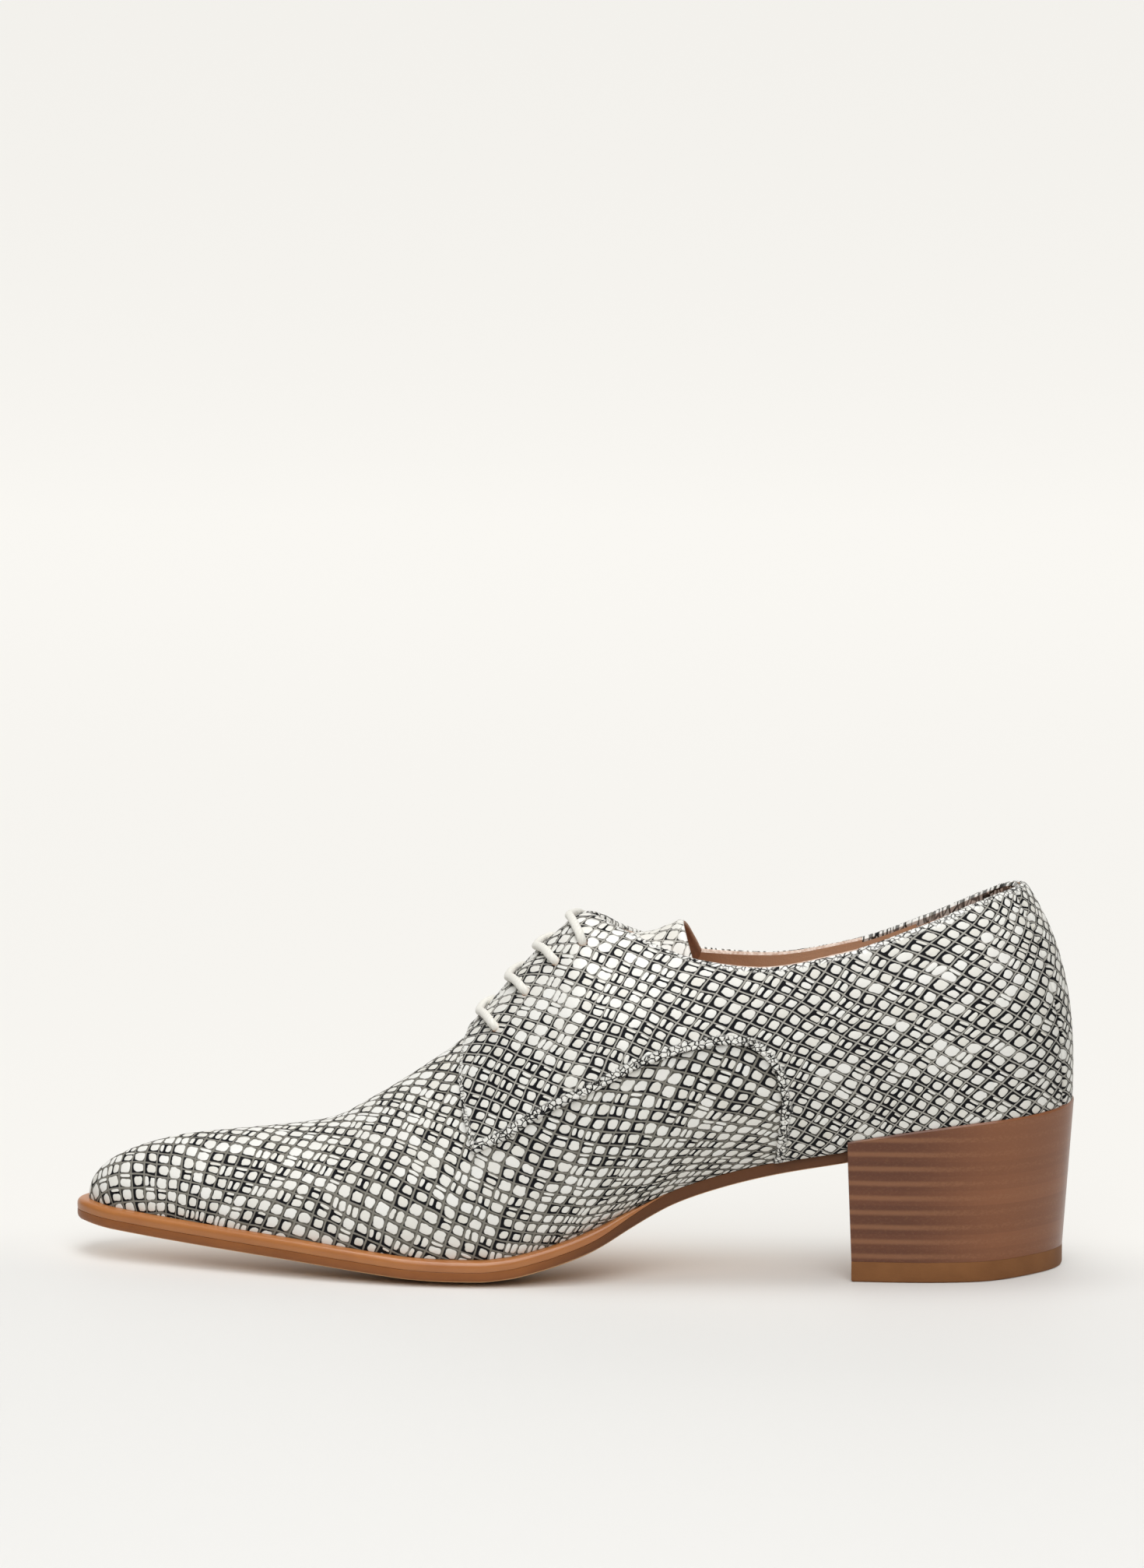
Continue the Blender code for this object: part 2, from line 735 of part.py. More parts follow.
def heel_profile(along):
    """Points up the heel's side, over its cupped rim and down to the seat, for both sides."""
    profile = []
    for side in (-1, 1):
        sides = np.full_like(along, side)
        foot, spine, outward = wall_frame(along, sides)
        rim_height = foot[:, 2] + HEEL_RIM_RISE
        rim_q = q_at_height(along, sides, rim_height)
        wall = last_surface(along, sides, rim_q)
        rim = np.concatenate(
            [wall[:, :2] + outward * HEEL_RIM_PROUD, rim_height[:, None]], -1
        )
        corner = (2 * outward[:, 0] * outward[:, 1]) ** 2
        base = rim.copy()
        base[:, :2] -= outward * (HEEL_TAPER + HEEL_CORNER_TAPER * corner)[:, None]
        base[:, 0] *= HEEL_BREAST_FOOT / HEEL_BREAST
        base[:, 2] = LIFT_THICKNESS + GAP
        inside = offset_surface(along, sides, rim_q, GAP)
        seat_line = foot[:, :2] + outward * (0.2 + 2 * GAP)
        seat_edge = raised(seat_line, bottom_height, -GAP)
        seat = raised(seat_line, outsole_bottom, -GAP)
        profile.append([base, rim, inside, seat_edge, seat])
    return np.array(profile)


def make_heel(stack_material, lift_material):
    """Stacked block with a rim that cups the upper, and the lift it stands on."""
    along = stations(17, HEEL_BACK, HEEL_BREAST)
    profile = heel_profile(along)
    profile[1, :, 0] = profile[0, :, 0]
    profile[:, :, 0, 1] = 0
    solid = Solid()
    rings = [solid.grid(profile[:, k]) for k in range(profile.shape[1])]
    for lower, upper in zip(rings[:-1], rings[1:]):
        for side in (0, 1):
            solid.skin([lower[side], upper[side]])
    for cap in (rings[0], rings[-1]):
        solid.skin([cap[0], cap[1]])
    breast = [ring[0][-1] for ring in rings] + [ring[1][-1] for ring in rings[::-1]]
    solid.face(*breast)
    solid.make("heel_stack", stack_material)
    lift = Solid()
    base = profile[:, 0]
    rings = []
    for inset, height in ((0.6, 0.0), (0.0, 0.6), (0.0, LIFT_THICKNESS)):
        foot = base.copy()
        centre = np.array([HEEL_BREAST_FOOT / 2, 0.0])
        toward = foot[..., :2] - centre
        toward /= np.linalg.norm(toward, axis=-1, keepdims=True)
        foot[..., :2] -= toward * inset
        foot[..., 2] = height
        rings.append(lift.grid(foot))
    for lower, upper in zip(rings[:-1], rings[1:]):
        for side in (0, 1):
            lift.skin([lower[side], upper[side]])
        lift.skin([[lower[0][-1], lower[1][-1]], [upper[0][-1], upper[1][-1]]])
    for cap in (rings[0], rings[-1]):
        edge = [*cap[0], *cap[1][:0:-1]]
        lift.face(*edge)
    lift.make("heel_lift", lift_material)


def make_insole(material):
    """Insole lying on the sole inside the upper."""
    along = stations(34, HEEL_BACK + INSOLE_MARGIN, TOE_TIP - 2 * INSOLE_MARGIN)
    solid = Solid()
    loops = []
    for lift in (GAP, GAP + INSOLE_THICKNESS):
        points = []
        for side in (-1, 1):
            foot, spine, outward = wall_frame(along, np.full_like(along, side))
            plan = foot[:, :2] - outward * INSOLE_MARGIN
            points.append(raised(plan, bottom_height, lift))
        loops.append(solid.grid(points))
    for side in (0, 1):
        solid.skin([loops[0][side], loops[1][side]])
    for end in (0, -1):
        solid.skin(
            [[loops[0][0][end], loops[0][1][end]], [loops[1][0][end], loops[1][1][end]]]
        )
    for loop in loops:
        solid.skin([loop[0], loop[1]])
    return solid.make("insole", material)


def lace_path(hole, crossing):
    """Centre line of one lace bar, from the medial hole over the instep to the lateral one."""
    lift = OVERLAY_GAP + OVERLAY + LACE_DIAMETER / 2 + LACE_LIFT
    halves = []
    for side in (-1, 1):
        share = np.linspace(0, 1, LACE_STEPS // 2 + 1)
        along = crossing + (hole - crossing) * (1 - share) ** LACE_BOW
        start = q_at_width(np.array([hole]), np.array([side]), LACE_HOLE_REACH)[0]
        q = start + (1 - start) * share
        halves.append(offset_surface(along, np.full_like(q, side), q, lift))
    middle = (halves[0][-1] + halves[1][-1]) / 2
    middle[2] += 0.2
    return np.concatenate([halves[0], middle[None], halves[1][::-1]])


def make_lace_bar(number, hole, crossing, material):
    path = lace_path(hole, crossing)
    curve = bpy.data.curves.new(f"lace_bar_{number}", "CURVE")
    curve.dimensions = "3D"
    curve.bevel_depth = LACE_DIAMETER / 2 * MM
    curve.bevel_resolution = 2
    curve.use_fill_caps = True
    spline = curve.splines.new("POLY")
    spline.points.add(len(path) - 1)
    for point, (along, across, height) in zip(spline.points, path):
        point.co = ((LENGTH / 2 - along) * MM, across * MM, height * MM, 1)
    curve.materials.append(material)
    bar = bpy.data.objects.new(curve.name, curve)
    bpy.context.scene.collection.objects.link(bar)


def main():
    for old in list(bpy.data.objects):
        bpy.data.objects.remove(old)
    materials = {name: make_material(name) for name in COLOURS}
    make_upper(materials["embossed_leather"])
    make_quarter(-1, "quarter_medial", materials["embossed_leather"])
    make_quarter(1, "quarter_lateral", materials["embossed_leather"])
    make_back_strip(materials["embossed_leather"])
    make_tongue(materials["embossed_leather"])
    make_insole(materials["lining_leather"])
    make_welt(materials["welt_leather"])
    make_outsole(materials["outsole_leather"])
    make_heel(materials["stacked_leather"], materials["lift_rubber"])
    for number, row in enumerate(zip(LACE["hole"], LACE["crossing"]), start=1):
        make_lace_bar(number, *row, materials["lace_cord"])


main()
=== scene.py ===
import math

import bmesh
import bpy
import numpy as np
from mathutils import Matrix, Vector
from mathutils.kdtree import KDTree


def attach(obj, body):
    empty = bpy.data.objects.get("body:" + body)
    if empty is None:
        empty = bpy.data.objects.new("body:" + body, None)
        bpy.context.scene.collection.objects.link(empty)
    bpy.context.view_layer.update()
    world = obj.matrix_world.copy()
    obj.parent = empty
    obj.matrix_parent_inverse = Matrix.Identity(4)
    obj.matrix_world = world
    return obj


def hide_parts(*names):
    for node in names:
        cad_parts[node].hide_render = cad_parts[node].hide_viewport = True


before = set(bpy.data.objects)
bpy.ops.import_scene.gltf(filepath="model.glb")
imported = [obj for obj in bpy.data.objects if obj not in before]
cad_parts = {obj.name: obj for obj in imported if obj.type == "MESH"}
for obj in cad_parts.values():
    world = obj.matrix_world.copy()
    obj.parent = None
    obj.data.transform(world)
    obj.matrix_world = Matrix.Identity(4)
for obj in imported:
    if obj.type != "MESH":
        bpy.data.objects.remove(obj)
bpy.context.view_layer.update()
mm = 0.001
print("frame loaded:", len(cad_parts), "solids")

# Camera: side view from the inner side of the foot, a little above the floor
cameraView = {
    "target": (-0.3, 0.0, 129.8),
    "distance": 1900.0,
    "azimuth": 3.6,
    "elevation": 9.8,
    "pixelsPerMm": 4.787,
    "imageWidth": 1470,
    "sensor": 36.0,
}


def makeCamera():
    azimuth = math.radians(cameraView["azimuth"])
    elevation = math.radians(cameraView["elevation"])
    back = Vector((
        math.sin(azimuth) * math.cos(elevation),
        -math.cos(azimuth) * math.cos(elevation),
        math.sin(elevation),
    ))
    data = bpy.data.cameras.new("camera")
    data.sensor_fit = "HORIZONTAL"
    data.sensor_width = cameraView["sensor"]
    imageMm = cameraView["imageWidth"] / cameraView["pixelsPerMm"]
    data.lens = cameraView["sensor"] * cameraView["distance"] / imageMm
    camera = bpy.data.objects.new("camera", data)
    camera.location = (Vector(cameraView["target"]) + back * cameraView["distance"]) * mm
    camera.rotation_euler = back.to_track_quat("Z", "Y").to_euler()
    bpy.context.scene.collection.objects.link(camera)
    bpy.context.scene.camera = camera


makeCamera()
print("camera placed")

# Last: the form that every leather piece follows, in millimetres. "along" runs forward from
# the back of the heel, side is -1 on the medial half and 1 on the lateral half.
last = {
    "length": 270.0,
    "toeTip": 266.8,
    "heelBack": 2.2,
    "heelRound": 26.0,
    "toeRound": 9.0,
    "toeDrift": -1.5,
    "driftStart": 170.0,
    "toeFall": 0.19,
    "spineHeel": 28.0,
    "spineToe": 26.0,
    "facingCorner": 131.0,
    "throatEnd": 164.0,
}


def columns(names, *rows):
    return dict(zip(names.split(), np.array(rows, float).T))


bottomLine = columns(
    "along height",
    (0, 42.6), (20, 41.4), (40, 38.9), (61, 35.2), (80, 31.6), (100, 26.4), (118, 19.2),
    (126, 15.4), (135, 11.9), (143, 9.5), (150, 7.9), (158, 7.1), (168, 7.1), (176, 7.35),
    (184, 8.05), (194, 9.0), (210, 10.4), (230, 11.8), (250, 13.3), (267, 14.8),
)
featherLine = columns(
    "along halfMedial halfLateral",
    (0, 24.2, 24.2), (24, 24.7, 24.9), (40, 25.4, 25.8), (61, 24.2, 26.2), (85, 22.4, 27.2),
    (103, 23.8, 29.2), (118, 27.8, 31.6), (135, 32.8, 34.2), (150, 35.6, 35.8),
    (163, 36.3, 36.2), (178, 35.0, 34.8), (194, 31.6, 31.4), (210, 26.8, 26.8),
    (226, 21.2, 21.4), (242, 15.4, 15.8), (267, 6.0, 6.4),
)
topLine = columns(
    "along reachMedial reachLateral heightMedial heightLateral roll",
    (0, 12.6, 12.6, 104.2, 104.2, 55),
    (12, 14.2, 14.2, 103.4, 101.8, 58),
    (24, 17.2, 17.2, 101.3, 97.8, 64),
    (40, 21.2, 21.4, 96.2, 91.0, 70),
    (61, 25.0, 25.4, 89.4, 83.0, 73),
    (84, 25.0, 26.0, 85.1, 79.2, 68),
    (100, 21.4, 22.8, 86.2, 80.6, 52),
    (112, 15.8, 16.6, 89.0, 84.2, 36),
    (122, 9.8, 10.0, 92.0, 88.4, 20),
    (131, 4.6, 4.6, 94.6, 92.8, 9),
    (140, 3.4, 3.4, 87.6, 86.6, 7),
    (150, 3.2, 3.2, 76.6, 76.2, 6),
    (157, 2.6, 2.6, 67.8, 67.8, 5),
    (164, 0, 0, 60.4, 60.4, 0),
    (175, 0, 0, 52.2, 52.2, 0),
    (189, 0, 0, 43.2, 43.2, 0),
    (201, 0, 0, 37.0, 37.0, 0),
    (212, 0, 0, 35.2, 35.2, 0),
    (225, 0, 0, 34.1, 34.1, 0),
    (240, 0, 0, 33.2, 33.2, 0),
    (267, 0, 0, 32.2, 32.2, 0),
)
wallShape = columns(
    "along leanMedial leanLateral low high",
    (0, 88, 88, 0.45, 0.30),
    (24, 76, 78, 0.42, 0.30),
    (40, 69, 73, 0.40, 0.30),
    (61, 56, 66, 0.38, 0.31),
    (85, 48, 60, 0.37, 0.33),
    (103, 48, 60, 0.37, 0.33),
    (120, 57, 66, 0.37, 0.30),
    (140, 71, 74, 0.37, 0.28),
    (163, 80, 80, 0.38, 0.27),
    (185, 86, 86, 0.40, 0.31),
    (210, 90, 90, 0.42, 0.35),
    (240, 91, 91, 0.39, 0.38),
    (267, 88, 88, 0.32, 0.45),
)


def smooth(at, xs, ys):
    order = np.argsort(xs)  # monotone cubic, so a level stretch stays level
    xs, ys = np.asarray(xs)[order], np.asarray(ys)[order]
    step = np.diff(xs)
    slope = np.diff(ys) / step
    tangent = np.zeros_like(ys)
    same = slope[:-1] * slope[1:] > 0
    before, after = 2 * step[1:] + step[:-1], step[1:] + 2 * step[:-1]
    inner = np.zeros_like(slope[1:])
    inner[same] = (before + after)[same] / (
        before[same] / slope[:-1][same] + after[same] / slope[1:][same]
    )
    tangent[1:-1] = inner
    tangent[0], tangent[-1] = slope[0], slope[-1]
    at = np.clip(at, xs[0], xs[-1])
    k = np.clip(np.searchsorted(xs, at) - 1, 0, len(step) - 1)
    t = (at - xs[k]) / step[k]
    rise = (3 - 2 * t) * t * t
    bend = t * (1 - t)
    return ys[k] + (ys[k + 1] - ys[k]) * rise + step[k] * bend * (
        (1 - t) * tangent[k] - t * tangent[k + 1]
    )


def read(source, column, at):
    return smooth(at, next(iter(source.values())), source[column])


def bySide(source, column, at, side):
    medial = read(source, column + "Medial", at)
    return np.where(side < 0, medial, read(source, column + "Lateral", at))


def ease(low, high, at):
    t = np.clip((at - low) / (high - low), 0, 1)
    return t * t * (3 - 2 * t)


def bell(gap, width):
    return np.exp(-((gap / width) ** 2))


def stacked(*parts):
    return np.stack(np.broadcast_arrays(*parts), axis=-1)


def floats(*parts):
    return np.broadcast_arrays(*(np.asarray(part, float) for part in parts))


def unit(vectors):
    return vectors / np.linalg.norm(vectors, axis=-1, keepdims=True)


def runAlong(line):
    return np.concatenate([[0], np.cumsum(np.linalg.norm(np.diff(line, axis=0), axis=1))])


def bottomHeight(along):
    return read(bottomLine, "height", along)


def axisDrift(along):
    return last["toeDrift"] * ease(last["driftStart"], last["toeTip"], along)


def featherWidth(along, side):
    half = bySide(featherLine, "half", along, side)
    heel = np.clip((along - last["heelBack"]) / last["heelRound"], 0, 1)
    toe = np.clip((last["toeTip"] - along) / last["toeRound"], 0, 1)
    return half * np.sqrt(1 - (1 - heel) ** 2) * np.sqrt(1 - (1 - toe) ** 2)


def spinePlace(along):
    heelEnd, toeEnd = last["spineHeel"], last["spineToe"]
    left = last["toeTip"] - along
    place = np.where(along < 2 * heelEnd, heelEnd + along**2 / (4 * heelEnd), along)
    toe = last["toeTip"] - toeEnd - left**2 / (4 * toeEnd)
    return np.where(left < 2 * toeEnd, toe, place)


def wallFrame(along, side):
    along, side = floats(along, side)
    width = axisDrift(along) + side * featherWidth(along, side)
    foot = stacked(along, width, bottomHeight(along))
    place = spinePlace(along)
    spine = stacked(place, axisDrift(place))
    return foot, spine, unit(foot[..., :2] - spine)


def lastSurface(along, side, q, crown=None):
    along, side, q = floats(along, side, q)  # q runs from the feather line (0) to the top (1)
    foot, spine, outward = wallFrame(along, side)
    reach = bySide(topLine, "reach", along, side)
    height = bySide(topLine, "height", along, side)
    roll = np.radians(read(topLine, "roll", along))
    if crown is not None:
        reach, roll = reach * 0, roll * 0
        height = np.broadcast_to(crown, along.shape)
    lean = np.radians(bySide(wallShape, "lean", along, side))
    top = np.concatenate([spine + outward * reach[..., None], height[..., None]], -1)
    span = np.linalg.norm(top - foot, axis=-1)
    flat, up = np.cos(lean), np.sin(lean)
    leave = stacked(outward[..., 0] * flat, outward[..., 1] * flat, up)
    flat, up = np.cos(roll), np.sin(roll) + last["toeFall"] * np.clip(outward[..., 0], 0, 1)
    arrive = stacked(-outward[..., 0] * flat, -outward[..., 1] * flat, up)
    low = (read(wallShape, "low", along) * span)[..., None]
    high = (read(wallShape, "high", along) * span)[..., None]
    q = q[..., None]
    return (
        foot * (1 - q) ** 3
        + (foot + leave * low) * 3 * q * (1 - q) ** 2
        + (top - arrive * high) * 3 * q * q * (1 - q)
        + top * q**3
    )


def outNormal(along, side, q):
    along, side, q = floats(along, side, q)
    stepAlong, stepQ = 0.4, 0.004
    ahead = np.minimum(along + stepAlong, last["toeTip"])
    behind = np.maximum(along - stepAlong, last["heelBack"])
    run = lastSurface(ahead, side, q) - lastSurface(behind, side, q)
    across = np.where(along > last["length"] / 2, -side, side)
    atEnd = (along > last["toeTip"] - stepAlong) | (along < last["heelBack"] + stepAlong)
    run = np.where(atEnd[..., None], stacked(0.0, across, 0.0), run)
    above = lastSurface(along, side, np.minimum(q + stepQ, 1))
    rise = above - lastSurface(along, side, np.maximum(q - stepQ, 0))
    return unit(np.cross(run, rise) * -side[..., None])


def offsetSurface(along, side, q, distance):
    distance = np.asarray(distance, float)[..., None]
    return lastSurface(along, side, q) + outNormal(along, side, q) * distance


def profileLength(along, side, q, steps=16):
    along, side, q = floats(along, side, q)  # length of the wall from the feather line up to q
    share = np.linspace(0, 1, steps + 1)
    points = lastSurface(along[..., None], side[..., None], q[..., None] * share)
    return np.linalg.norm(np.diff(points, axis=-2), axis=-1).sum(-1)


def qWhere(values, wanted, grid):
    return np.array([np.interp(w, v, grid) for w, v in zip(wanted, values)])


def qAtHeight(along, side, height):
    grid = np.linspace(0, 1, 80)
    heights = lastSurface(along[:, None], side, grid[None, :])[..., 2]
    return qWhere(heights, height, grid)


def qAtWidth(along, side, halfWidth):
    grid = np.linspace(1, 0.3, 90)
    widths = np.abs(lastSurface(along[:, None], side, grid[None, :])[..., 1])
    return qWhere(widths, np.full(len(along), halfWidth), grid)


def stations(count, start=last["heelBack"], end=last["toeTip"], turnWeight=9.0):
    bend = np.linspace(0, math.pi, 4001)  # closer together where the outline turns
    along = start + (end - start) * (1 - np.cos(bend)) / 2
    step = np.diff(stacked(along, featherWidth(along, np.array(-1.0))), axis=0)
    turn = np.abs(np.diff(np.unwrap(np.arctan2(step[:, 1], step[:, 0]))))
    cost = np.linalg.norm(step, axis=1)
    cost[1:] += turnWeight * turn
    cost = np.concatenate([[0], np.cumsum(cost)])
    return np.interp(np.linspace(0, cost[-1], count), cost, along)


# Mesh making: points are (along, across, height) in millimetres
def worldX(along):
    return (last["length"] / 2 - along) * mm


def toWorld(points):
    points = np.asarray(points, float).reshape(-1, 3)
    return stacked(last["length"] / 2 - points[:, 0], points[:, 1], points[:, 2]) * mm


def quads(numbers):
    numbers = np.asarray(numbers)
    corners = (numbers[:-1, :-1], numbers[:-1, 1:], numbers[1:, 1:], numbers[1:, :-1])
    return stacked(*corners).reshape(-1, 4).tolist()


def numbered(points):
    return np.arange(points.size // 3).reshape(points.shape[:-1])


def link(name, data):
    made = bpy.data.objects.new(name, data)
    bpy.context.scene.collection.objects.link(made)
    return made


def makePiece(name, points, faceSets, materials, net=None, marks=None, sharp=40, weld=0.004):
    mesh = bpy.data.meshes.new(name)
    faces = [face for group, _ in faceSets for face in group]
    mesh.from_pydata(toWorld(points).tolist(), [], faces)
    mesh.polygons.foreach_set("material_index", [k for group, k in faceSets for _ in group])
    for material in materials:
        mesh.materials.append(material)
    if net is not None:
        corner = np.empty(len(mesh.loops), np.int32)
        mesh.loops.foreach_get("vertex_index", corner)
        layer = mesh.uv_layers.new(name="net")
        layer.data.foreach_set("uv", np.asarray(net, np.float32).reshape(-1, 2)[corner].ravel())
    for mark, values in (marks or {}).items():
        attribute = mesh.attributes.new(mark, "FLOAT", "POINT")
        attribute.data.foreach_set("value", np.asarray(values, np.float32).ravel())
    work = bmesh.new()
    work.from_mesh(mesh)
    bmesh.ops.remove_doubles(work, verts=work.verts, dist=weld * mm)
    bmesh.ops.recalc_face_normals(work, faces=work.faces)
    work.to_mesh(mesh)
    work.free()
    mesh.shade_smooth()
    mesh.set_sharp_from_angle(angle=math.radians(sharp))
    return link(name, mesh)


def freeze(piece, modifier):  # the modifier's result becomes the piece's plain mesh
    seen = piece.evaluated_get(bpy.context.evaluated_depsgraph_get())
    plain = bpy.data.meshes.new_from_object(seen)
    piece.modifiers.remove(modifier)
    piece.data = plain


# Shells have an outer and an inner skin of the same grid, joined round their edges
def shellFaces(shape):
    rows, cols = shape
    outer = np.arange(rows * cols).reshape(shape)
    inner = outer + rows * cols
    rim = []
    for edge in (np.s_[0], np.s_[-1], np.s_[:, 0], np.s_[:, -1]):
        rim += quads([outer[edge], inner[edge]])
    return [(quads(outer), 0), (quads(inner), 1), (rim, 2)]


def skins(outer, inner):
    return np.concatenate([outer.reshape(-1, 3), inner.reshape(-1, 3)])


def onBoth(values):
    flat = values.reshape(-1, *values.shape[2:])
    return np.concatenate([flat, flat])


def nearest(points, line, spacing=0.15):
    line = np.asarray(line, float)
    length = runAlong(line)
    at = np.linspace(0, length[-1], int(length[-1] / spacing) + 2)
    dense = np.stack([np.interp(at, length, line[:, k]) for k in range(3)], -1)
    tree = KDTree(len(dense))
    for k, place in enumerate(dense):
        tree.insert(place, k)
    tree.balance()
    flat = points.reshape(-1, 3)
    return np.array([tree.find(p)[2] for p in flat]).reshape(points.shape[:-1])


def rounded(gap, radius):  # quarter circle up from an edge
    return np.sqrt(1 - (1 - np.clip(gap / radius, 0, 1)) ** 2)


def settle(piece, slotName, *nodes):
    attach(piece, "root")
    if nodes:
        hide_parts(*nodes)
    print("made", piece.name, len(piece.data.polygons), "faces")


# Materials
def linear(hexColour):
    channels = [int(hexColour[k : k + 2], 16) / 255 for k in (1, 3, 5)]
    return (*[c / 12.92 if c <= 0.04045 else ((c + 0.055) / 1.055) ** 2.4 for c in channels], 1)


def wire(tree, node, links):
    for key, value in links.items():
        if isinstance(value, bpy.types.Node):
            value = value.outputs[0]
        if isinstance(value, bpy.types.NodeSocket):
            tree.links.new(value, node.inputs[key])
        else:
            node.inputs[key].default_value = value


def add(tree, kind, links=None, **settings):
    made = tree.nodes.new(kind)
    for key, value in settings.items():
        setattr(made, key, value)
    wire(tree, made, links or {})
    return made


def calc(tree, operation, *values):
    return add(tree, "ShaderNodeMath", dict(enumerate(values)), operation=operation)


def calcVector(tree, operation, *values):
    return add(tree, "ShaderNodeVectorMath", dict(enumerate(values)), operation=operation)


def remap(tree, value, given=(0.0, 1.0), wanted=(0.0, 1.0), soft=False):
    ends = {"From Min": given[0], "From Max": given[1], "To Min": wanted[0], "To Max": wanted[1]}
    kind = "SMOOTHSTEP" if soft else "LINEAR"
    return add(tree, "ShaderNodeMapRange", {"Value": value, **ends}, interpolation_type=kind)


def mixValue(tree, share, first, second):
    return add(tree, "ShaderNodeMix", {0: share, 2: first, 3: second})


def mixColour(tree, share, first, second):
    first, second = (linear(c) if isinstance(c, str) else c for c in (first, second))
    return add(tree, "ShaderNodeMix", {0: share, 6: first, 7: second}, data_type="RGBA").outputs[2]


def noise(tree, where, size, detail):
    return add(tree, "ShaderNodeTexNoise", {"Vector": where, "Scale": 1 / size, "Detail": detail})


def voronoi(tree, where, size, feature="F1"):
    return add(tree, "ShaderNodeTexVoronoi", {"Vector": where, "Scale": 1 / size}, feature=feature).outputs


def bumpBy(tree, height, strength, depth):
    return add(tree, "ShaderNodeBump", {"Height": height, "Strength": strength, "Distance": depth * mm})


def mark(tree, name):
    return add(tree, "ShaderNodeAttribute", attribute_name=name).outputs["Fac"]


def axes(tree, vector):
    return add(tree, "ShaderNodeSeparateXYZ", {0: vector}).outputs


def objectPlace(tree):
    return add(tree, "ShaderNodeTexCoord").outputs["Object"]


def newMaterial(name):
    material = bpy.data.materials.new(name)
    material.use_nodes = True
    tree = material.node_tree
    return material, tree, tree.nodes["Principled BSDF"]


# Printed calf leather, embossed with a snake's net: glossy raised white pads in a thin grey mesh,
# with near-black ink left between pad and mesh on one side of each cell
vampLook = {
    "pitch": (3.9, 3.4),  # one cell of the net
    "sway": 5.0, "swayMm": 34.0,  # how far the net wanders, and over what length
    "ripple": 1.3, "rippleMm": 7.0,
    "meshHalf": 0.06, "meshSoft": (1.4, 0.7),
    "zoneMm": 10.0, "zoneRange": (0.25, 0.85),
    "wetChance": 0.8, "wetRange": (0.52, 1.04), "lowDry": 0.2,
    "splitShare": (0.2, 0.14), "splitAt": (0.56, 0.72),
    "padRange": (0.41, 0.46), "wetShrink": 0.085, "lowShrink": 0.045, "padEdge": (1.05, 0.9),
    "padDrift": (0.1, -0.07), "leastDrift": 0.25,
    "squareness": 3.4, "uneven": 0.26, "unevenMm": 1.6,
    "inkToward": (0.8, -0.55, 0.0), "inkRange": (0.2, 0.6),  # to the toe and downwards
    "padColours": ("#ecebe6", "#e0ddd4"),
    "groundColour": "#5b5850", "meshColour": "#827f76", "inkColour": "#131316",
    "fleckMm": 1.3, "fleckDark": 0.12, "fleckMesh": 0.04, "fleckPad": 0.09,
    "reliefMm": 0.35, "bump": 0.7, "domeFall": 0.3, "meshRelief": 0.35, "poreMm": 0.35, "poreRelief": 0.12,
    "roughness": (0.6, 0.4), "shine": (0.1, 0.3),  # between the pads and on them
    "coat": 0.1, "coatRoughness": 0.2,
}
quarterLook = {
    **vampLook,
    "pitch": (3.65, 3.3), "meshHalf": 0.05, "wetRange": (0.25, 0.85), "padRange": (0.42, 0.46),
    "wetShrink": 0.1, "meshColour": "#a8a59d", "groundColour": "#4a4842",
}
tongueLook = {**quarterLook, "padRange": (0.44, 0.475), "wetRange": (1.0, 1.6), "meshColour": "#b8b5ad"}


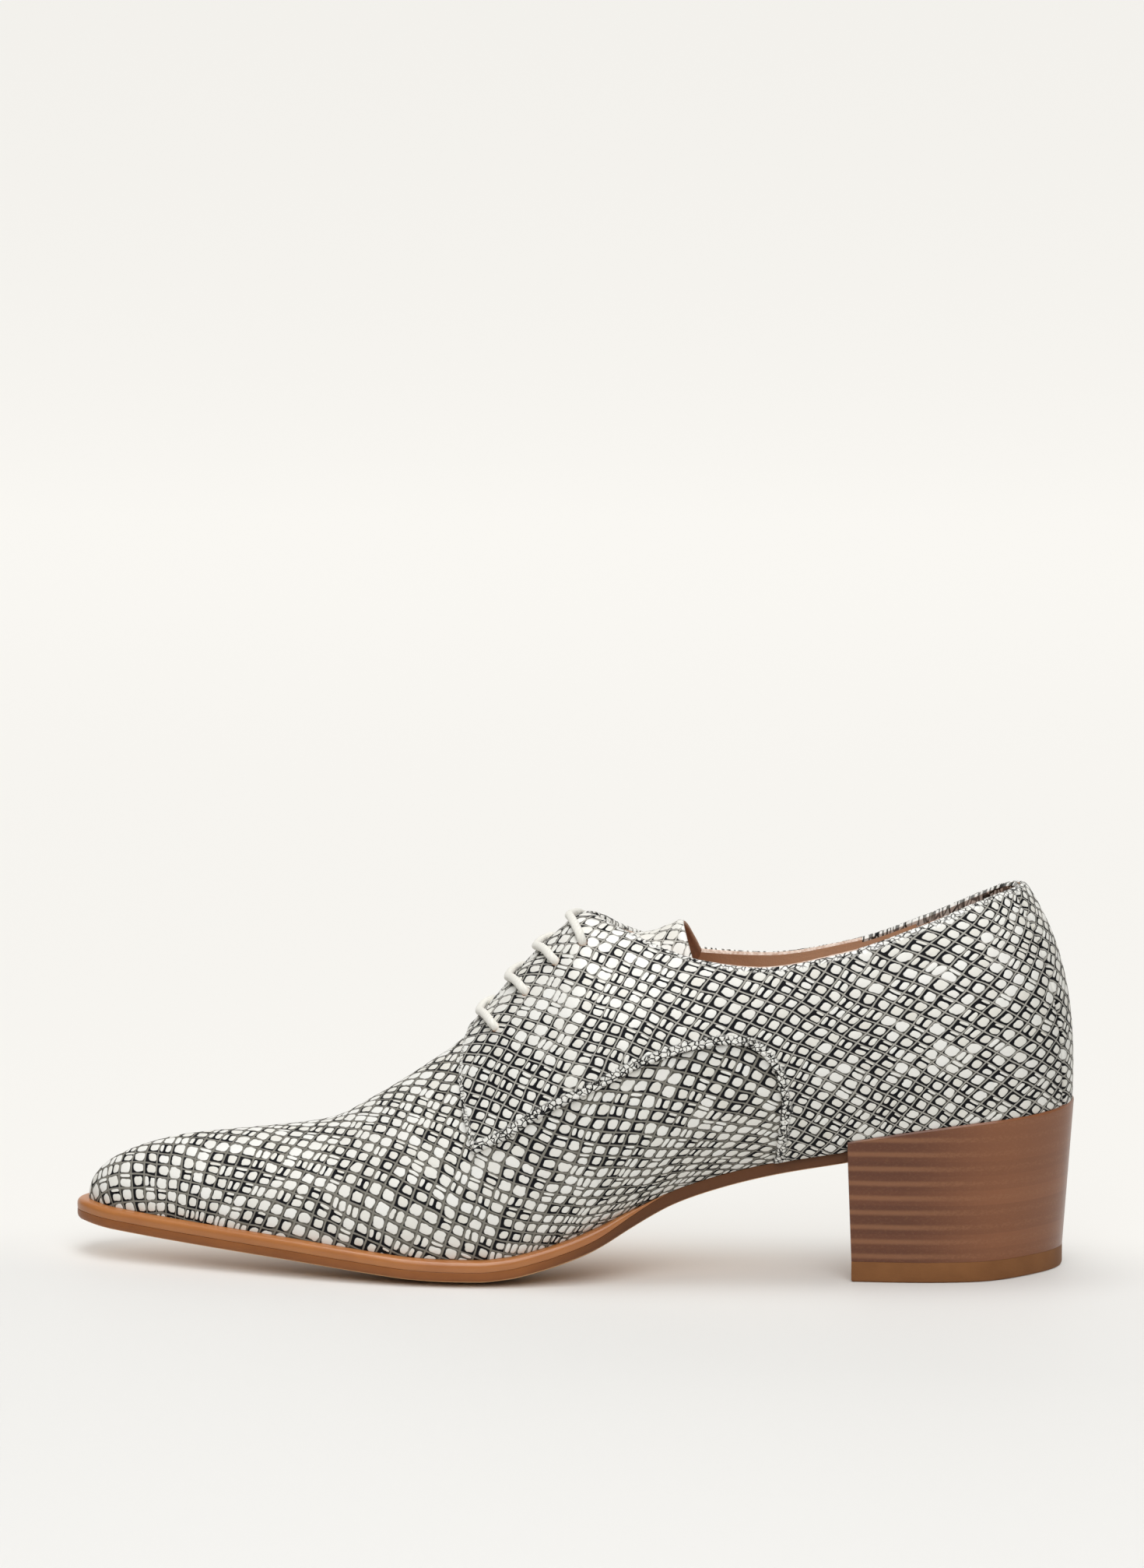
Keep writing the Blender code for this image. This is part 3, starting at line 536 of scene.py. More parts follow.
def embossedLeather(name, look):
    material, tree, shader = newMaterial(name)
    net = add(tree, "ShaderNodeUVMap", uv_map="net")
    bent = net
    for key, detail in (("sway", 0.0), ("ripple", 1.0)):
        wander = noise(tree, net, look[key + "Mm"], detail).outputs["Color"]
        bent = calcVector(tree, "MULTIPLY_ADD", wander, (look[key], look[key], 0.0), bent)
    cells = calcVector(tree, "DIVIDE", bent, (*look["pitch"], 1.0))
    cell = calcVector(tree, "FLOOR", cells)
    chance = add(tree, "ShaderNodeTexWhiteNoise", {"Vector": cell}, noise_dimensions="3D").outputs
    dice = add(tree, "ShaderNodeSeparateColor", {0: chance["Color"]}).outputs
    within = calcVector(tree, "FRACTION", cells)
    place = axes(tree, within)
    centred = calcVector(tree, "SUBTRACT", within, (0.5, 0.5, 0.0))
    border = axes(tree, calcVector(tree, "ABSOLUTE", centred))
    farther = calc(tree, "MAXIMUM", border["X"], border["Y"])
    mesh = remap(tree, farther, [0.5 - soft * look["meshHalf"] for soft in look["meshSoft"]], soft=True)

    # wet cells, gathered in zones, hold a smaller pad and more ink
    dark = remap(tree, noise(tree, net, look["zoneMm"], 1.0), look["zoneRange"])
    low = mark(tree, "low")
    dried = calc(tree, "MULTIPLY_ADD", low, -look["lowDry"], dark)
    spotted = calc(tree, "ADD", dried, mark(tree, "ink"))
    roll = calc(tree, "MULTIPLY_ADD", dice["Blue"], look["wetChance"], spotted)
    wet = remap(tree, roll, look["wetRange"], soft=True)

    # some cells hold a wide and a narrow pad, side by side or one above the other
    cutAt = remap(tree, chance["Value"], wanted=look["splitAt"])
    tall, flat = look["splitShare"]
    divided = {}
    for key, test, edge in (("X", "LESS_THAN", tall), ("Y", "GREATER_THAN", 1 - flat)):
        split = calc(tree, test, dice["Red"], edge)
        second = calc(tree, "MULTIPLY", split, calc(tree, "GREATER_THAN", place[key], cutAt))
        start = calc(tree, "MULTIPLY", second, cutAt)
        stop = mixValue(tree, second, mixValue(tree, split, 1.0, cutAt), 1.0)
        width = calc(tree, "SUBTRACT", stop, start)
        local = calc(tree, "DIVIDE", calc(tree, "SUBTRACT", place[key], start), width)
        divided[key] = calc(tree, "SUBTRACT", local, 0.5)

    size = remap(tree, dice["Green"], wanted=look["padRange"])
    full = calc(tree, "MULTIPLY_ADD", wet, -look["wetShrink"], size)
    half = calc(tree, "MULTIPLY_ADD", low, -look["lowShrink"], full)
    powers = []
    for key, colour, drift in zip("XY", ("Red", "Green"), look["padDrift"]):
        push = remap(tree, dice[colour], wanted=(look["leastDrift"] * drift, drift))
        moved = calc(tree, "MULTIPLY_ADD", wet, push, divided[key])
        share = calc(tree, "ABSOLUTE", calc(tree, "DIVIDE", moved, half))
        powers.append(calc(tree, "POWER", share, look["squareness"]))
    radius = calc(tree, "POWER", calc(tree, "ADD", *powers), 1 / look["squareness"])
    uneven = noise(tree, net, look["unevenMm"], 1.0)
    outlineOff = remap(tree, uneven, wanted=(-look["uneven"], look["uneven"]))
    pad = remap(tree, calc(tree, "ADD", radius, outlineOff), look["padEdge"], soft=True)

    # ink gathers on the toe side and below each pad
    lean = calcVector(tree, "DOT_PRODUCT", centred, look["inkToward"]).outputs["Value"]
    ink = remap(tree, calc(tree, "ADD", lean, wet), look["inkRange"], soft=True)
    ground = mixColour(tree, ink, look["groundColour"], look["inkColour"])
    meshed = mixColour(tree, mesh, ground, look["meshColour"])
    printed = mixColour(tree, pad, meshed, mixColour(tree, dice["Blue"], *look["padColours"]))

    # on folds and rolled edges the net is crushed into flecks
    fold = mark(tree, "fold")
    crush = voronoi(tree, net, look["fleckMm"], "DISTANCE_TO_EDGE")["Distance"]
    hue = voronoi(tree, net, look["fleckMm"])["Color"]
    fleckDice = add(tree, "ShaderNodeSeparateColor", {0: hue}).outputs["Red"]
    fleckEdge = calc(tree, "MULTIPLY_ADD", fleckDice, -look["fleckDark"], crush)
    flecks = add(tree, "ShaderNodeValToRGB", {0: fleckEdge})
    stops = flecks.color_ramp.elements
    stops[0].color = linear(look["inkColour"])
    stops[1].position, stops[1].color = look["fleckPad"], linear(look["padColours"][0])
    stops.new(look["fleckMesh"]).color = linear(look["meshColour"])

    # relief: domed pads, a low cord of mesh, fine pores over everything
    dome = calc(tree, "MULTIPLY_ADD", calc(tree, "MULTIPLY", radius, radius), -look["domeFall"], 1.0)
    padHeight = calc(tree, "MULTIPLY", pad, dome)
    relief = calc(tree, "MAXIMUM", padHeight, calc(tree, "MULTIPLY", mesh, look["meshRelief"]))
    pressed = mixValue(tree, fold, relief, crush)
    pores = noise(tree, net, look["poreMm"], 2.0)
    height = calc(tree, "MULTIPLY_ADD", pores, look["poreRelief"], pressed)
    wire(tree, shader, {
        "Base Color": mixColour(tree, fold, printed, flecks),
        "Normal": bumpBy(tree, height, look["bump"], look["reliefMm"]),
        "Roughness": remap(tree, pad, wanted=look["roughness"]),
        "Specular IOR Level": remap(tree, pad, wanted=look["shine"]),
        "Coat Weight": remap(tree, pad, wanted=(0.0, look["coat"])),
        "Coat Roughness": look["coatRoughness"],
    })
    return material


vampLeather = embossedLeather("printedCalfVamp", vampLook)
quarterLeather = embossedLeather("printedCalfQuarter", quarterLook)
tongueLeather = embossedLeather("printedCalfTongue", tongueLook)


# Smooth tanned leathers: colour drifts slowly over the hide, pores show as fine bump; the sole edge also
# gets painted shade, darker from the ball back into the waist
hideLook = {"driftRange": (0.3, 0.7), "patchy": 0.06, "poreDepth": 0.15}  # roughness is patchy too


def tannedLeather(name, look):
    material, tree, shader = newMaterial(name)
    where = objectPlace(tree)
    drift = noise(tree, where, look["driftMm"] * mm, 3.0)
    colour = mixColour(tree, remap(tree, drift, hideLook["driftRange"]), *look["colours"])
    if "waistShadeColour" in look:
        # painted shade: the sole edge darkens from the ball back into the waist, where the arch shades it
        waistShade = remap(tree, axes(tree, where)["X"], [worldX(a) for a in look["waistShadeMm"]], soft=True)
        colour = mixColour(tree, waistShade, colour, look["waistShadeColour"])
    pores = voronoi(tree, where, look["poreMm"] * mm)["Distance"]
    roughness = [look["roughness"] + way * hideLook["patchy"] for way in (-1, 1)]
    wire(tree, shader, {
        "Base Color": colour,
        "Roughness": remap(tree, drift, wanted=roughness),
        "Normal": bumpBy(tree, pores, look["poreStrength"], hideLook["poreDepth"]),
        "Specular IOR Level": look["shine"],
    })
    return material


liningLook = {"colours": ("#e2bb9a", "#d6ac89"), "driftMm": 12.0, "poreMm": 0.6,
              "poreStrength": 0.35, "roughness": 0.62, "shine": 0.2}
rawEdgeLook = {"colours": ("#ead9cc", "#b99a86"), "driftMm": 0.9, "poreMm": 0.5,
               "poreStrength": 0.6, "roughness": 0.85, "shine": 0.2}
# painted highlight: the welt is coloured lighter than the sole edge below it, for the light on its top
weltLook = {"colours": ("#b27440", "#a5683a"), "driftMm": 14.0, "poreMm": 0.4,
            "poreStrength": 0.08, "roughness": 0.3, "shine": 0.5}
# the waist colour is painted shade under the arch
outsoleLook = {"colours": ("#945b30", "#87512a"), "driftMm": 10.0, "poreMm": 0.4,
               "poreStrength": 0.12, "roughness": 0.42, "shine": 0.25,
               "waistShadeColour": "#623c22", "waistShadeMm": (150.0, 118.0)}
treadLook = {"colours": ("#d6ab7c", "#c4966a"), "driftMm": 16.0, "poreMm": 0.7,
             "poreStrength": 0.25, "roughness": 0.6, "shine": 0.2}
sockLook = {"colours": ("#bb8a66", "#ab7856"), "driftMm": 20.0, "poreMm": 0.7,
            "poreStrength": 0.3, "roughness": 0.6, "shine": 0.2}
liftLook = {"colours": ("#8a5c36", "#7f5330"), "driftMm": 8.0, "poreMm": 0.5,
            "poreStrength": 0.15, "roughness": 0.55, "shine": 0.2}
liningLeather = tannedLeather("kidLining", liningLook)
# the lining leather darkened as painted shade, for the tongue's underside and edge
shadedTongueLining = tannedLeather("tongueLiningPaintedShade", {**liningLook, "colours": ("#b8937b", "#a98369")})
rawEdge = tannedLeather("rawLeatherEdge", rawEdgeLook)
weltLeather = tannedLeather("burnishedWeltPaintedHighlight", weltLook)
outsoleLeather = tannedLeather("dyedSoleEdgeShadedWaist", outsoleLook)
treadLeather = tannedLeather("vegetableTannedTread", treadLook)
sockLeather = tannedLeather("calfSock", sockLook)
liftRubber = tannedLeather("mouldedLiftRubber", liftLook)


# Stacked leather: dyed layers with a paler glue line in each, worn into grain to the back, and painted
# shade that darkens the heel towards its front
heelLook = {
    "layerMm": 4.05, "firstLayerMm": 5.4, "lineShare": 0.27, "lineCore": 0.05, "wave": 0.3, "waveMm": 9.0,
    # the front colours are painted shade: darker copies of the back colours for the heel's shaded front
    "shadedFrontColours": ("#693e28", "#5f3723"), "backColours": ("#8c593a", "#825134"), "lineColour": "#9a6a49",
    "wearAndShadeMm": (48.0, 14.0), "lineStrength": (0.55, 0.22),  # from the front of the heel to its back
    "grainMm": 0.5, "grainStretch": 1.6, "grainRange": (0.38, 0.6), "grainBump": 0.12, "grainDepth": 0.2,
    "speckRange": (0.5, 0.72), "speck": 0.15,
    "roughness": 0.4, "shine": 0.2, "polish": 0.35, "polishRoughness": 0.12,
}


def stackedLeather(look):
    material, tree, shader = newMaterial("stackedLeatherHeel")
    where = objectPlace(tree)
    at = axes(tree, where)
    wave = noise(tree, where, look["waveMm"] * mm, 2.0)
    level = calc(tree, "MULTIPLY_ADD", wave, look["wave"] * mm, at["Z"])
    above = calc(tree, "SUBTRACT", level, look["firstLayerMm"] * mm)
    layers = calc(tree, "DIVIDE", above, look["layerMm"] * mm)
    tone = add(tree, "ShaderNodeTexWhiteNoise", {"W": calc(tree, "FLOOR", layers)}, noise_dimensions="1D")
    fromLine = calc(tree, "SUBTRACT", calc(tree, "FRACT", layers), 0.5)
    line = remap(tree, calc(tree, "ABSOLUTE", fromLine), (look["lineShare"], look["lineCore"]), soft=True)
    stretched = add(tree, "ShaderNodeMapping", {0: where, "Scale": (1.0, 1.0, look["grainStretch"])})
    grain = noise(tree, stretched, look["grainMm"] * look["grainStretch"] * mm, 3.0)
    toBack = remap(tree, at["X"], [worldX(a) for a in look["wearAndShadeMm"]], soft=True)
    strength = calc(tree, "MULTIPLY", line, remap(tree, toBack, wanted=look["lineStrength"]))
    broken = mixValue(tree, toBack, 1.0, remap(tree, grain, look["grainRange"]))
    worn = calc(tree, "MULTIPLY", strength, broken)
    # painted shade: the heel's front is coloured darker than its back
    tones = [mixColour(tree, tone, *look[key]) for key in ("shadedFrontColours", "backColours")]
    speck = remap(tree, grain, look["speckRange"], (0.0, look["speck"]))
    speckled = mixColour(tree, speck, mixColour(tree, toBack, *tones), look["lineColour"])
    wire(tree, shader, {
        "Base Color": mixColour(tree, worn, speckled, look["lineColour"]),
        "Normal": bumpBy(tree, grain, look["grainBump"], look["grainDepth"]),
        "Roughness": look["roughness"], "Specular IOR Level": look["shine"],
        "Coat Weight": look["polish"], "Coat Roughness": look["polishRoughness"],
    })
    return material


heelLeather = stackedLeather(heelLook)

# Braided cotton lace: the strands' diagonals show as fine bump; drawn as coarse as it shows
laceLook = {"colours": ("#e8e6de", "#dfdcd2"), "strandMm": 0.7, "uneven": 1.2, "bump": 0.2, "depth": 0.1,
            "roughness": 0.75, "sheen": 0.2}
waveLength = 0.314  # length of one band of the wave texture at a scale of 1


def braidedCotton(look):
    material, tree, shader = newMaterial("waxedCottonLace")
    strands = add(tree, "ShaderNodeTexWave", {
        "Vector": add(tree, "ShaderNodeUVMap", uv_map="net"), "Scale": waveLength / look["strandMm"],
        "Distortion": look["uneven"], "Detail": 1.0,
    }, wave_type="BANDS", bands_direction="DIAGONAL").outputs["Fac"]
    wire(tree, shader, {
        "Base Color": mixColour(tree, strands, *look["colours"][::-1]),
        "Normal": bumpBy(tree, strands, look["bump"], look["depth"]),
        "Roughness": look["roughness"], "Sheen Weight": look["sheen"],
    })
    return material


laceCotton = braidedCotton(laceLook)
print("materials ready")

# Lay of the net on each piece: how steeply its rows fall and its columns rise towards the heel
vampLay = columns(
    "along fall rise",
    (60, 20, 60), (110, 22, 64), (150, 22, 68), (200, 22, 68), (267, 20, 66),
)
quarterLay = columns(
    "along fall rise",
    (-15, 33, 40), (20, 31, 42), (60, 26, 50), (100, 19, 60), (165, 17, 64),
)


def netOver(along, level, lay, midLevel):
    track = np.linspace(-80, 340, 2101)  # longer than any piece laid flat
    step = track[1] - track[0]
    fallRun = np.cumsum(np.sin(np.radians(read(lay, "fall", track)))) * step
    riseRun = np.cumsum(np.sin(np.radians(read(lay, "rise", track)))) * step
    fall, rise = (np.radians(read(lay, key, along)) for key in ("fall", "rise"))
    rows = (level - midLevel) * np.cos(fall) - np.interp(along, track, fallRun)
    cols = (level - midLevel) * np.cos(rise) + np.interp(along, track, riseRun)
    return stacked(cols, rows)


# Where the print came out inkiest, and below nought the dry facings
inkSpots = columns(
    "along height reach strength",
    (88, 78, 24, 0.5), (150, 52, 12, 0.35), (100, 57, 13, 0.3), (132, 38, 16, 0.25),
    (236, 26, 20, 0.15), (133, 84, 18, -0.4),
)


def inkOver(points):
    ink = np.zeros(points.shape[:-1])
    for along, height, reach, strength in zip(*inkSpots.values()):
        gap = np.hypot(points[..., 0] - along, points[..., 2] - height)
        ink += strength * bell(gap, reach)
    return ink.ravel()


# Upper: one wall of vamp leather with its lining, open at the collar and throat
upperPlan = {
    "wall": 1.3, "stations": 210, "rows": 54, "rimRows": 3, "rimRise": 0.45, "throatFade": 8.0,
    "turnInFrom": (58.0, 44.0), "turnInFold": 0.8,  # collar leather turned in over the edge at the back
    "netRidge": 17.0, "netLevel": 69.0, "netBlend": (78.0, -6.0), "netMiddle": 40.0,
    "waistReach": 28.0, "waistDraw": (0.8, 0.6), "waistBack": (58.0, 84.0), "waistFront": (156.0, 122.0),
    "lowMm": (46.0, 6.0), "toeMm": (205.0, 240.0), "toeLess": 0.7,  # smaller pads near the sole
}


def upperNet(along, side, q):
    plan = upperPlan  # the net as it would lie on the flat hide, unrolled from the ridge to both sides
    _, spine, outward = wallFrame(along, side)
    fromSole = profileLength(along[:, None], side[:, None], q[None, :])
    full = profileLength(along, side, np.ones_like(along))
    fromRidge = full[:, None] - fromSole + bySide(topLine, "reach", along, side)[:, None]
    flat = spine[:, None, :] + outward[:, None, :] * fromRidge[..., None]
    ridgeLevel = read(topLine, "heightMedial", flat[..., 0]) + plan["netRidge"] - plan["netLevel"]
    ridgeLevel *= ease(*plan["netBlend"], flat[..., 1])  # the lateral side lies without the ridge's fall
    level = plan["netLevel"] + ridgeLevel + flat[..., 1]
    net = netOver(flat[..., 0], level, vampLay, plan["netMiddle"])
    drawn = np.clip(1 - fromSole / plan["waistReach"], 0, 1) ** 2 * plan["waistReach"] / 2
    drawn *= (side * ease(*plan["waistBack"], along) * ease(*plan["waistFront"], along))[:, None]
    net += drawn[..., None] * plan["waistDraw"]
    low = ease(*plan["lowMm"], fromSole) * (1 - plan["toeLess"] * ease(*plan["toeMm"], along))[:, None]
    return net, low


def makeUpper():
    plan = upperPlan
    medial = stations(plan["stations"])
    for corner in (last["facingCorner"], last["throatEnd"]):
        medial[np.abs(medial - corner).argmin()] = corner
    along = np.concatenate([medial, medial[-2:0:-1]])
    count = len(medial)
    side = np.where(np.arange(len(along)) < count, -1.0, 1.0)
    q = np.linspace(0, 1, plan["rows"] + 1)
    ring, rows, rimRows = len(along), len(q), plan["rimRows"]
    outer = offsetSurface(along[:, None], side[:, None], q[None, :], 0.0)
    inner = offsetSurface(along[:, None], side[:, None], q[None, :], -plan["wall"])
    closed = bySide(topLine, "reach", along, side) < 0.01
    lateral = np.arange(count, ring)
    ridge = lateral[closed[lateral]]
    for face in (outer, inner):
        face[ridge, -1] = face[2 * (count - 1) - ridge, -1]
    openness = ease(last["throatEnd"], last["throatEnd"] - plan["throatFade"], along)
    share = np.linspace(0, 1, rimRows + 2)[1:-1]
    rim = outer[:, -1:] + (inner[:, -1:] - outer[:, -1:]) * share[None, :, None]
    rim[..., 2] += plan["rimRise"] * openness[:, None] * np.sin(math.pi * share)[None, :]
    points = np.concatenate([part.reshape(-1, 3) for part in (outer, inner, rim)])
    outerNo = np.arange(ring * rows).reshape(ring, rows)
    innerNo = outerNo + ring * rows
    rimNo = 2 * ring * rows + np.arange(ring * rimRows).reshape(ring, -1)
    around = np.concatenate([np.arange(ring), [0]])
    strip = np.concatenate([outerNo[:, -1:], rimNo, innerNo[:, -1:]], axis=1)[around]
    unseamed = ~(closed & closed[around[1:]])
    # towards the back the turned-in leather is first one row deep, then two
    turnIns = [(along < start) & (along[around[1:]] < start) for start in plan["turnInFrom"]]
    rimFaces = np.reshape(quads(strip), (ring, -1, 4))
    wallFaces = np.reshape(quads(innerNo[around]), (ring, -1, 4))
    lining = np.ones(wallFaces.shape[:2], bool)
    for depth, there in enumerate(turnIns):
        lining[there, -1 - depth] = False
    turnedFaces = rimFaces[turnIns[0]].reshape(-1, 4).tolist() + wallFaces[~lining].tolist()
    footFaces = quads(np.stack([outerNo[around, 0], innerNo[around, 0]]))
    faceSets = [
        (quads(outerNo[around]) + turnedFaces, 0), (wallFaces[lining].tolist() + footFaces, 1),
        (rimFaces[unseamed & ~turnIns[0]].reshape(-1, 4).tolist(), 2),
    ]

    net, low = upperNet(along, side, q)
    net = np.concatenate([onBoth(net), np.repeat(net[:, -1], rimRows, axis=0)])
    behind = plan["turnInFold"] * (along <= plan["turnInFrom"][0] + 1)
    fold = np.zeros((ring, rows))
    fold[:, -3:] = behind[:, None]
    marks = {
        "low": np.concatenate([onBoth(low), np.zeros(ring * rimRows)]),
        "fold": np.concatenate([np.zeros(ring * rows), fold.ravel(), np.repeat(behind, rimRows)]),
        "ink": np.concatenate([inkOver(face) for face in (outer, inner, rim)]),
    }
    return makePiece("upper_shell", points, faceSets, (vampLeather, liningLeather, rawEdge), net, marks)


# Quarters: laid over the vamp, with a folded and stitched edge along the seam
quarterPlan = {
    "under": 0.1, "face": 1.5, "edgeThin": 0.2,
    "rounding": {"front": 0.9, "seam": 0.9, "strip": 0.9, "top": 1.5, "sole": 2.4},
    "bandWidth": 2.3, "bandFade": (0.7, -0.5), "bandRise": 0.3,
    "stitchRow": 1.3, "stitchPull": 0.2, "stitchWidth": 0.4,
    "topFold": (1.9, 0.8, 0.85), "frontFold": (2.0, 1.2, 0.9),  # where it fades, how strong
    "columns": (7, 46, 62, 44, 56), "heelColumns": 46, "heelCrowding": 1.6, "rows": 58, "crowding": 0.09,
    "netMiddle": 62.0, "lowMm": (82.0, 48.0), "lowMost": 0.75,
}
seamLine = columns(
    "column height",
    (162, 34.4), (154, 37.6), (144, 44.3), (134, 49.9), (126, 53.8), (117, 58.4), (109, 61.5),
    (100, 64.0), (93, 65.3), (88, 65.2), (84.2, 63.6), (81, 60.6), (78.8, 56.2), (77.6, 50.4),
    (76.8, 45.0), (75.9, 39.4), (74.6, 34.2),
)
quarterCut = {
    "seamFront": 162.0, "seamRear": 74.6, "seamTurn": 84.0, "frontEdge": 1.6, "heelTurn": 26.0,
    "frontBow": (-2.5, 16.0, -13.5), "frontFade": 22.0,
    "rearBow": 5.6, "rearBowTop": 0.36, "rearBowPower": 1.2, "rearFade": 14.0, "rearFadeBehind": 5.0,
    "stripEdgeFoot": 4.2, "stripEdgeTop": 7.8, "stripFade": 12.0,
    "soleGap": 0.35, "heelBreast": 60.1, "heelRim": 3.4, "underRim": 1.5, "breastFade": 1.5,
}


def quarterAlong(column, q):
    cut = quarterCut
    share = np.clip(q - q.min(axis=1, keepdims=True), 0, 1) / np.ptp(q, axis=1, keepdims=True)
    a, b, c = cut["frontBow"]
    front = (a + b * share + c * share**2) * bell(cut["seamFront"] - column, cut["frontFade"])
    rear = cut["rearBow"] * np.clip(1 - q / cut["rearBowTop"], 0, 1) ** cut["rearBowPower"]
    fade = np.where(column > cut["seamRear"], cut["rearFade"], cut["rearFadeBehind"])
    rear = rear * bell(column - cut["seamRear"], fade)
    back = (cut["stripEdgeTop"] - cut["stripEdgeFoot"]) * q
    back = back * bell(column - cut["stripEdgeFoot"], cut["stripFade"])
    return column + front + rear + back


def quarterFoot(column):
    cut = quarterCut
    seam = read(seamLine, "height", column)
    floor = bottomHeight(column) + cut["soleGap"]
    rim = bottomHeight(column) + cut["heelRim"] - cut["underRim"]
    breast, fade = cut["heelBreast"], cut["breastFade"]
    low = floor + (rim - floor) * ease(breast + fade, breast - fade, column)
    return np.where(column > cut["seamRear"], seam, low)


def quarterGrid(side):
    plan, cut = quarterPlan, quarterCut
    corners = (cut["seamFront"], cut["seamFront"] - cut["frontEdge"], last["facingCorner"],
               cut["seamTurn"], cut["seamRear"], cut["heelTurn"])
    spans = [np.linspace(a, b, n)[:-1] for a, b, n in zip(corners, corners[1:], plan["columns"])]
    turns = np.linspace(1, 0, plan["heelColumns"]) ** plan["heelCrowding"]  # closer round the heel
    heel = cut["stripEdgeFoot"] + (cut["heelTurn"] - cut["stripEdgeFoot"]) * turns
    column = np.concatenate([*spans, heel])
    foot = qAtHeight(column, side, quarterFoot(column))
    even = np.linspace(0, 1, plan["rows"] + 1)
    share = even - plan["crowding"] * np.sin(2 * math.pi * even)  # closer at both edges
    q = foot[:, None] + (1 - foot[:, None]) * share[None, :]
    return column, quarterAlong(column[:, None], q), q


def heelWrap(along, until=60.0, level=0.45):
    track = last["heelBack"] + (until - last["heelBack"]) * np.linspace(0, 1, 900) ** 2
    run = runAlong(lastSurface(track, -1.0, level)[:, :2])
    return np.where(along < until, until - run[-1] + np.interp(along, track, run), along)


def quarterBorders(column, points):
    seamEnd = np.flatnonzero(column > quarterCut["seamRear"] - 0.01)[-1] + 1
    return {"front": points[0], "seam": points[:seamEnd, 0], "sole": points[seamEnd - 1 :, 0],
            "strip": points[-1], "top": points[:, -1]}


def quarterLift(points, borders):
    plan = quarterPlan
    gap = {key: nearest(points, line) for key, line in borders.items()}
    edges = np.min([rounded(gap[key], radius) for key, radius in plan["rounding"].items()], axis=0)
    band = ease(*(plan["bandWidth"] + fade for fade in plan["bandFade"]), gap["seam"])
    thin = plan["edgeThin"]
    lift = plan["under"] + (plan["face"] - plan["under"]) * (thin + (1 - thin) * edges)
    lift = lift + plan["bandRise"] * band * edges
    lift = lift - plan["stitchPull"] * bell(gap["seam"] - plan["stitchRow"], plan["stitchWidth"])
    fold = band
    for key in ("top", "front"):
        start, end, strength = plan[key + "Fold"]
        fold = np.maximum(fold, strength * ease(start, end, gap[key]))
    return lift, fold, gap


stitchLines = []


def addStitchRow(gap, points, normals, keepOff=None):
    line = []  # where each line of points leaves the border by the row's distance
    row = quarterPlan["stitchRow"]
    for k in range(len(gap)):
        beyond = np.flatnonzero(gap[k] > row)
        if not len(beyond) or beyond[0] == 0:
            continue
        j = beyond[0]
        if keepOff is not None and keepOff[k, j] < row:
            continue
        share = (row - gap[k, j - 1]) / (gap[k, j] - gap[k, j - 1])
        line.append([grid[k, j - 1] + (grid[k, j] - grid[k, j - 1]) * share for grid in (points, normals)])
    stitchLines.append(np.array(line))


def quarterNet(along, around, side, q):
    plan = quarterPlan
    level = bottomHeight(along) + profileLength(along, side, q)
    net = netOver(around, level, quarterLay, plan["netMiddle"])
    return onBoth(net), onBoth(plan["lowMost"] * ease(*plan["lowMm"], level))


def makeQuarter(side, name):
    column, along, q = quarterGrid(side)
    base = lastSurface(along, side, q)
    lift, fold, gap = quarterLift(base, quarterBorders(column, base))
    outer = offsetSurface(along, side, q, lift)
    inner = offsetSurface(along, side, q, quarterPlan["under"])
    normal = outNormal(along, side, q)
    addStitchRow(gap["seam"], outer, normal)
    addStitchRow(gap["front"].T, outer.swapaxes(0, 1), normal.swapaxes(0, 1), gap["seam"].T)
    points = skins(outer, inner)
    net, low = quarterNet(along, heelWrap(along), side, q)
    marks = {"fold": onBoth(fold), "low": low, "ink": inkOver(points)}
    materials = (quarterLeather, liningLeather, quarterLeather)
    return makePiece(name, points, shellFaces(along.shape), materials, net, marks)


# Back strip over the seam at the heel
stripPlan = {"under": 0.3, "face": 1.75, "share": 0.98, "columns": 44, "rows": 60,
             "edgeRound": 0.8, "topRound": 1.3, "edgeThin": 0.15, "topFold": (1.6, 0.7)}


def makeBackStrip():
    plan, cut = stripPlan, quarterCut
    edge = np.array([cut["stripEdgeFoot"]])
    foot = qAtHeight(edge, -1.0, quarterFoot(edge))[0]
    q = foot + (1 - foot) * np.linspace(0, 1, plan["rows"] + 1)
    across = np.linspace(-1, 1, plan["columns"] + 1)
    widest = cut["stripEdgeFoot"] + q * (cut["stripEdgeTop"] - cut["stripEdgeFoot"]) - last["heelBack"]
    along = last["heelBack"] + widest[None, :] * (plan["share"] * across[:, None]) ** 2
    side = np.broadcast_to(np.where(across < 0, -1.0, 1.0)[:, None], along.shape)
    q = np.broadcast_to(q, along.shape)
    base = lastSurface(along, side, q)
    sideGap = np.minimum(nearest(base, base[0]), nearest(base, base[-1]))
    topGap = nearest(base, base[:, -1])
    edges = np.minimum(rounded(sideGap, plan["edgeRound"]), rounded(topGap, plan["topRound"]))
    thin = plan["edgeThin"]
    lift = plan["under"] + (plan["face"] - plan["under"]) * (thin + (1 - thin) * edges)
    outer = offsetSurface(along, side, q, lift)
    inner = offsetSurface(along, side, q, plan["under"])
    wrapped = heelWrap(along)
    around = np.where(side < 0, wrapped, 2 * heelWrap(np.array(last["heelBack"])) - wrapped)
    net, low = quarterNet(along, around, side, q)
    marks = {"fold": onBoth(ease(*plan["topFold"], topGap)), "low": low}
    materials = (quarterLeather, liningLeather, quarterLeather)
    return makePiece("heel_strip", skins(outer, inner), shellFaces(along.shape), materials, net, marks)


